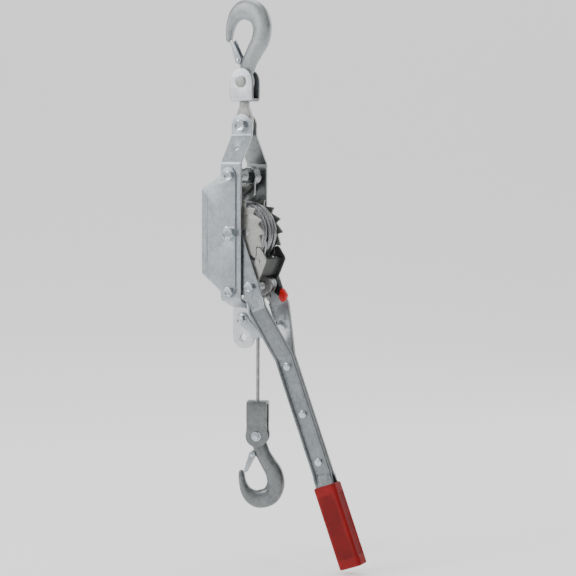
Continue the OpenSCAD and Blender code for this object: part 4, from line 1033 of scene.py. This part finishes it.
# ------------------------------------------------------------------ handle
HP = Path2([(ARM_O - HT / 2, 26.0), (ARM_O - HT / 2, -102.0), (HT / 2 + 0.1, -168.0), (HT / 2 + 0.1, -322.0), (6.4, -340.0), (6.4, -436.0)], 14.0, 10)
def handle_half():
    """Pressed channel: flat by the axle, with a rib rising along each edge further down."""
    s_ax = HP.of_z(9.0)
    ends = [HP.of_z(9.0 + 13.0 * math.sin(math.radians(q))) for q in (89.5, 84, 77, 70, 62, 54, 45, 36, 27, 18, 9, 0)]
    st = sorted(set([round(x, 3) for x in ends] + [round(float(x), 3) for x in HP.s if x > s_ax] + [round(float(x), 3) for x in np.linspace(s_ax, HP.s[-1], 110)]))
    rows = []
    rib0, rib1 = HP.of_z(-86.0), HP.of_z(-104.0)
    end0, end1 = HP.of_z(-326.0), HP.of_z(-338.0)
    for s in st:
        u = s - s_ax
        w = 13.0
        if u < 0: w = math.sqrt(max(0.0, 169.0 - u * u)); w = max(w, 0.35)
        g = np.clip((s - rib0) / (rib1 - rib0), 0, 1); g = g * g * (3 - 2 * g)
        e = 1 - np.clip((s - end0) / (end1 - end0), 0, 1); g = g * e * e * (3 - 2 * e)
        h = 2.75 * g
        t = HT / 2
        # outer face from one edge to the other, then the inner face back; (v, n)
        q = min(0.45, w * 0.4)
        prof = [(-w, -t + q), (-w, t + h - q), (-w + q * 0.5, t + h - q * 0.15), (-w + q * 1.5, t + h), (-w + 2.2, t + h), (-w + 3.0, t + h * 0.78), (-w + 3.9, t + h * 0.22), (-w + 5.0, t)] if w > 6 else \
               [(-w, -t + q), (-w, t - q), (-w * 0.99, t - q * 0.4), (-w * 0.97, t), (-w * 0.9, t), (-w * 0.8, t), (-w * 0.7, t), (-w * 0.6, t)]
        left = prof
        right = [(-a, b_) for a, b_ in left[::-1]]
        top = left + [(-0.33 * w, t), (0.0, t), (0.33 * w, t)] + right
        bot = [(w * 0.985, -t), (0.5 * w, -t), (0.0, -t), (-0.5 * w, -t), (-w * 0.985, -t)]
        y, z, ty, tz = HP.at(np.array([s])); y, z, ty, tz = y[0], z[0], ty[0], tz[0]
        ny, nz = -tz, ty
        if ny < 0: ny, nz = -ny, -nz
        rows.append([(a, y + n_ * ny, z + n_ * nz) for a, n_ in top + bot])
    m = len(rows[0]); v = np.array(rows).reshape(-1, 3); kk = len(rows)
    f = [(i * m + j, i * m + (j + 1) % m, (i + 1) * m + (j + 1) % m, (i + 1) * m + j) for i in range(kk - 1) for j in range(m)]
    f += [tuple(range(m)), tuple((kk - 1) * m + j for j in range(m))]
    return v, f
hh = handle_half()
def along(p):
    return p.center.x * 1000 * math.sin(HA) - (p.center.z * 1000 - AX) * math.cos(HA)
def across(p):
    return p.normal.x * math.cos(HA) + p.normal.z * math.sin(HA)
v, f = hframe(hh); o = to_object("handle_far_pressing", v, f, "handle", HANDLE_M, ("handle_far_half",), "zinc_sheet", True, 42)
# inner face of the far half down to the bend in the paler zinc copy: painted highlight
paint(o, ZINC_HIGHLIGHT, lambda p: p.normal.y < -0.5 and along(p) < 172)
# edge faces in the dark edge material: darker cut steel with painted shade
paint(o, EDGE_AND_SHADE, lambda p: abs(across(p)) > 0.8)
v, f = hframe(mirror_y(hh)); o = to_object("handle_near_pressing", v, f, "handle", HANDLE_M, ("handle_near_half",), "zinc_sheet", True, 42)
# from the bend down, the near half is in darker copies of the handle steel: painted shade
paint(o, HANDLE_BEND_SHADE, lambda p: 103 <= along(p) < 168)
paint(o, HANDLE_LOW_SHADE, lambda p: along(p) >= 168)
# edge faces in the dark edge material: darker cut steel with painted shade
paint(o, EDGE_AND_SHADE, lambda p: abs(across(p)) > 0.8)
b = Bag()
for u in (180, 243, 306):
    b.add(rivet(3.0, 5.4, -2.75, 2.75, 2.1, 0, -u, 0.5))
v, f = hframe(b.out()); to_object("handle_rivet_set", v, f, "handle", BOLT, ("handle_rivets",), "bolt_zinc")

def grip():
    """Moulded sleeve with plain end bands and a raised woven panel on each face."""
    z0, z1 = -442.0, -336.0
    step = 0.62
    W, D, R = 16.0, 11.0, 5.2
    # perimeter of a rounded rectangle, arc-length spaced
    per = round_poly([(W, -D), (W, D), (-W, D), (-W, -D)], R, 14)
    per = np.array(per + [per[0]])
    s = np.concatenate([[0], np.cumsum(np.linalg.norm(np.diff(per, axis=0), axis=1))])
    m = int(s[-1] / step); q = np.linspace(0, s[-1], m, endpoint=False)
    px = np.interp(q, s, per[:, 0]); py = np.interp(q, s, per[:, 1])
    d = np.stack([np.interp(q + 0.3, s, per[:, 0]) - np.interp(q - 0.3, s, per[:, 0]), np.interp(q + 0.3, s, per[:, 1]) - np.interp(q - 0.3, s, per[:, 1])], 1)
    d /= np.maximum(np.linalg.norm(d, axis=1), 1e-9)[:, None]
    nx, ny = d[:, 1], -d[:, 0]
    flip = np.sign(np.mean(nx * px + ny * py)); nx, ny = nx * flip, ny * flip
    zs = [z0, z0 + 0.25, z0 + 0.9, z0 + 2.0]
    zs += list(np.arange(z0 + 2.6, z1 - 2.4, step)) + [z1 - 2.0, z1 - 0.9, z1 - 0.25, z1]
    rows = []; groove = []
    for z in zs:
        # ends rounded over
        e = min(z - z0, z1 - z)
        ins = 2.0 - math.sqrt(max(0.0, 4.0 - max(0.0, 2.0 - e) ** 2)) if e < 2.0 else 0.0
        # plain bands at both ends stand a little proud of the panel
        band = 1.0 / (1 + math.exp((min(z - (z0 + 12.0), (z1 - 12.0) - z)) * 2.2))
        row = []
        for i in range(m):
            x, y = px[i], py[i]
            face = 1.0 / (1 + math.exp((abs(x) - (W - 4.2)) * 2.2)) if abs(y) > D - 1.5 else 0.0
            side = 1.0 / (1 + math.exp((abs(y) - (D - 5.5)) * 2.4)) if abs(x) > W - 1.5 else 0.0
            pan = max(face, side * 0.6) * (1 - band)
            c = x if abs(y) > D - 1.5 else y
            wv = 0.5 * (math.sin((c + z) * math.pi / 1.35) + math.sin((c - z) * math.pi / 1.35))
            h = -ins - 0.75 * max(face, side) * (1 - band) + pan * 0.55 * max(-0.7, wv)
            row.append((x + nx[i] * h, y + ny[i] * h, z))
            groove.append(max(0.0, -wv) * pan)
        rows.append(row)
    v = np.array(rows).reshape(-1, 3); kk = len(rows)
    f = [(i * m + j, i * m + (j + 1) % m, (i + 1) * m + (j + 1) % m, (i + 1) * m + j) for i in range(kk - 1) for j in range(m)]
    # closed butt end; open mouth with a wall on the handle side
    f.append(tuple(range(m)))
    base = len(v)
    scale = np.array([13.6 / W, 8.6 / D])
    mouth = np.stack([px * scale[0], py * scale[1], np.full(m, z1)], 1)
    deep = mouth.copy(); deep[:, 2] = z1 - 6
    v = np.vstack([v, mouth, deep])
    o = (kk - 1) * m
    f += [(o + j, o + (j + 1) % m, base + (j + 1) % m, base + j) for j in range(m)]
    f += [(base + j, base + (j + 1) % m, base + m + (j + 1) % m, base + m + j) for j in range(m)]
    f.append(tuple(base + m + j for j in range(m)))
    return (v, f), np.array(groove + [0.0] * (2 * m))
gv, groove = grip()
v, f = hframe(gv); g = to_object("handle_grip_sleeve", v, f, "handle", GRIP_M, ("handle_grip",), "red_grip", True, 75)
# groove depth per point; the grip material darkens the grooves with it as painted shade
a = g.data.attributes.new("groove", "FLOAT", "POINT")
a.data.foreach_set("value", np.resize(groove, len(g.data.vertices)).astype(np.float32))
print("grip", len(groove), len(g.data.vertices))

# ------------------------------------------------------------------ lower clevis, pin, ferrule
LP = Path2([(-7, LPZ), (-7, -LC - 31), (-8.6, -LC - 26), (-8.6, -LC - 2), (8.6, -LC - 2), (8.6, -LC - 26), (7, -LC - 31), (7, LPZ)], 3.2, 8)
def lower_clevis():
    L = LP.s[-1]
    lp = arc(0, 0, 14.4, 205, 335, 19) 
    # the body is a little narrower than the ears
    a = [(x, y) for x, y in arc(0, 0, 14.4, 180 - 22, 360 + 22, 33)]
    c = [(x, L + y) for x, y in arc(0, 0, 14.4, -22, 202, 33)]
    neck = 18.5
    loop = a + [(13.0, neck)] + [(13.0, L - neck)] + c + [(-13.0, L - neck), (-13.0, neck)]
    loops = [loop, circle(0, 0, 5.05, 32), circle(0, L, 5.05, 32), circle(0, L / 2, 3.85, 28)]
    return bent_plate(loops, LP, 3.8, 0.7, 3)
v, f = low_frame(lower_clevis()); to_object("lower_clevis_strap", v, f, "lower_clevis", CLEVIS_DARK, ("lower_clevis",), "dark_forged", True, 40)
def lower_pin():
    b = Bag()
    b.add(lathe([(1e-3, -11.2), (3.2, -11.2), (4.4, -10.9), (4.95, -10.2), (5, -9.6), (5, 9.1), (6.4, 9.1), (6.4, 10.9), (5.8, 11.5), (1e-3, 11.6)], 0, LPZ, 44))
    b.add(lathe([(4.95, -10.3), (6.1, -10.3), (6.4, -9.9), (6.4, -9.3), (4.95, -9.2)], 0, LPZ, 44))
    # split pin: bent legs and eye across the pin's end
    for s_ in (1, -1):
        q = catmull([(-0.6, -11.4, 3.4), (0.3 * s_, -11.9, 1.6), (1.4 + 0.6 * s_, -12.1, 0.2), (2.4 + 1.1 * s_, -11.8, -1.3 + s_ * 0.7), (3.0 + 1.5 * s_, -11.0, -2.4 + s_ * 1.2)], 5)
        q = q + np.array([0.6, 0, LPZ])
        b.add(tube(q, 0.72, 8, True, None, True))
    t = np.linspace(0.3, 2 * math.pi - 0.3, 22)
    q = np.stack([0.0 + 1.5 * np.sin(t), np.full(22, -11.5), LPZ + 3.9 + 1.5 * (-np.cos(t)) + 0.4], 1)
    b.add(tube(q, 0.66, 8, True, None, True))
    return b.out()
v, f = low_frame(lower_pin()); to_object("lower_pin_set", v, f, "lower_clevis", BOLT, ("lower_hook_pin",), "bolt_zinc", True, 35)
def ferrule():
    prof = [(1e-3, -LC + 0.45), (2.6, -LC + 0.45), (3.5, -LC + 0.1), (3.7, -LC - 0.6), (3.7, -LC - 4.9), (5.2, -LC - 5.0), (5.6, -LC - 5.6), (5.6, -LC - 13.6), (5.0, -LC - 14.4), (1e-3, -LC - 14.4)]
    n = 40; v = []; kk = len(prof)
    for i in range(n):
        a = 2 * math.pi * i / n
        v += [(RX + r * math.cos(a), r * math.sin(a), z) for r, z in prof]
    f = [(i * kk + q, i * kk + q + 1, ((i + 1) % n) * kk + q + 1, ((i + 1) % n) * kk + q) for i in range(n) for q in range(kk - 1)]
    return np.array(v), f
v, f = ferrule(); to_object("swaged_ferrule", v, f, "rope_end", BOLT, ("rope_ferrule",), "bolt_zinc")

# ------------------------------------------------------------------ carried-over CAD nodes
for n, mt in (("drum_core", DARK), ("axle_washers", BOLT), ("upper_spacer_tube", DARK), ("lower_spacer_tube", DARK)):
    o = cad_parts[n]
    o.data.materials.clear() if False else None
    if len(o.material_slots) == 0:
        o.data.materials.append(mt)
    for sl in o.material_slots:
        sl.material = mt

# ------------------------------------------------------------------ floor and lights
def floor():
    """A pale sweep: flat under the object, curving up far behind it."""
    z = CAD[0].z - 0.004
    sec = [(-6.0, 0.0), (2.2, 0.0)] + [(2.2 + 1.6 * math.sin(math.radians(a)), 1.6 - 1.6 * math.cos(math.radians(a))) for a in range(5, 91, 5)] + [(3.8, 5.0)]
    back = Vector((-math.sin(0.5365), math.cos(0.5365), 0)); side = Vector((back.y, -back.x, 0))
    v, f = [], []
    for d, h in sec:
        for s_ in (-7, 7):
            p = back * d + side * s_
            v.append((p.x, p.y, z + h))
    for i in range(len(sec) - 1):
        f.append((2 * i, 2 * i + 1, 2 * i + 3, 2 * i + 2))
    me = bpy.data.meshes.new("floor")
    me.from_pydata(v, [], f)
    for p in me.polygons:
        p.use_smooth = True
    ob = bpy.data.objects.new("floor", me)
    bpy.context.scene.collection.objects.link(ob)
    m, nt, sh, co = nodes_of("pale_floor")
    sh.inputs["Base Color"].default_value = (0.93, 0.93, 0.93, 1)
    sh.inputs["Roughness"].default_value = 0.9
    sh.inputs["Emission Color"].default_value = (1, 1, 1, 1)
    sh.inputs["Emission Strength"].default_value = 0.5
    me.materials.append(m)
floor()

def area(name, loc, aim, size, power, color=(1, 1, 1)):
    l = bpy.data.lights.new(name, "AREA")
    l.shape = "RECTANGLE"; l.size, l.size_y = size; l.energy = power; l.color = color
    o = bpy.data.objects.new(name, l)
    bpy.context.scene.collection.objects.link(o)
    d = Vector(aim) - Vector(loc)
    o.location = loc
    o.rotation_mode = "QUATERNION"; o.rotation_quaternion = d.to_track_quat("-Z", "Y")
C = (0.03, 0, -0.3)
area("key", (-1.15, -1.5, 0.75), C, (0.7, 1.5), 19)
area("strip", (0.35, -1.9, 0.2), C, (0.12, 1.6), 3.0)
area("top", (-0.2, 0.2, 1.3), C, (0.9, 0.9), 9)
area("rim", (0.75, 1.3, 0.3), C, (0.5, 1.4), 7)
w = bpy.data.worlds.new("world"); bpy.context.scene.world = w
w.use_nodes = True
nt = w.node_tree
bg = nt.nodes["Background"]
tc = nt.nodes.new("ShaderNodeTexCoord")
def lobe(direction, lo, hi):
    d = nt.nodes.new("ShaderNodeVectorMath"); d.operation = "DOT_PRODUCT"
    d.inputs[1].default_value = Vector(direction).normalized()
    nt.links.new(tc.outputs["Generated"], d.inputs[0])
    m = nt.nodes.new("ShaderNodeMapRange"); m.interpolation_type = "SMOOTHSTEP"
    m.inputs["From Min"].default_value, m.inputs["From Max"].default_value = lo, hi
    nt.links.new(d.outputs["Value"], m.inputs["Value"])
    return m.outputs[0]
# a pale studio, darker behind the object's right and low in front, as a room is between its lights
r1 = ramp(nt, lobe((0.70, 0.70, 0.05), 0.35, 0.80), [(0.0, 1.0), (1.0, 0.06)])
r2 = ramp(nt, lobe((0.35, -0.93, -0.1), 0.45, 0.95), [(0.0, 1.0), (1.0, 0.35)])
nt.links.new(mix(nt, r1, r2, 1.0, "MULTIPLY"), bg.inputs[0])
bg.inputs[1].default_value = 0.72
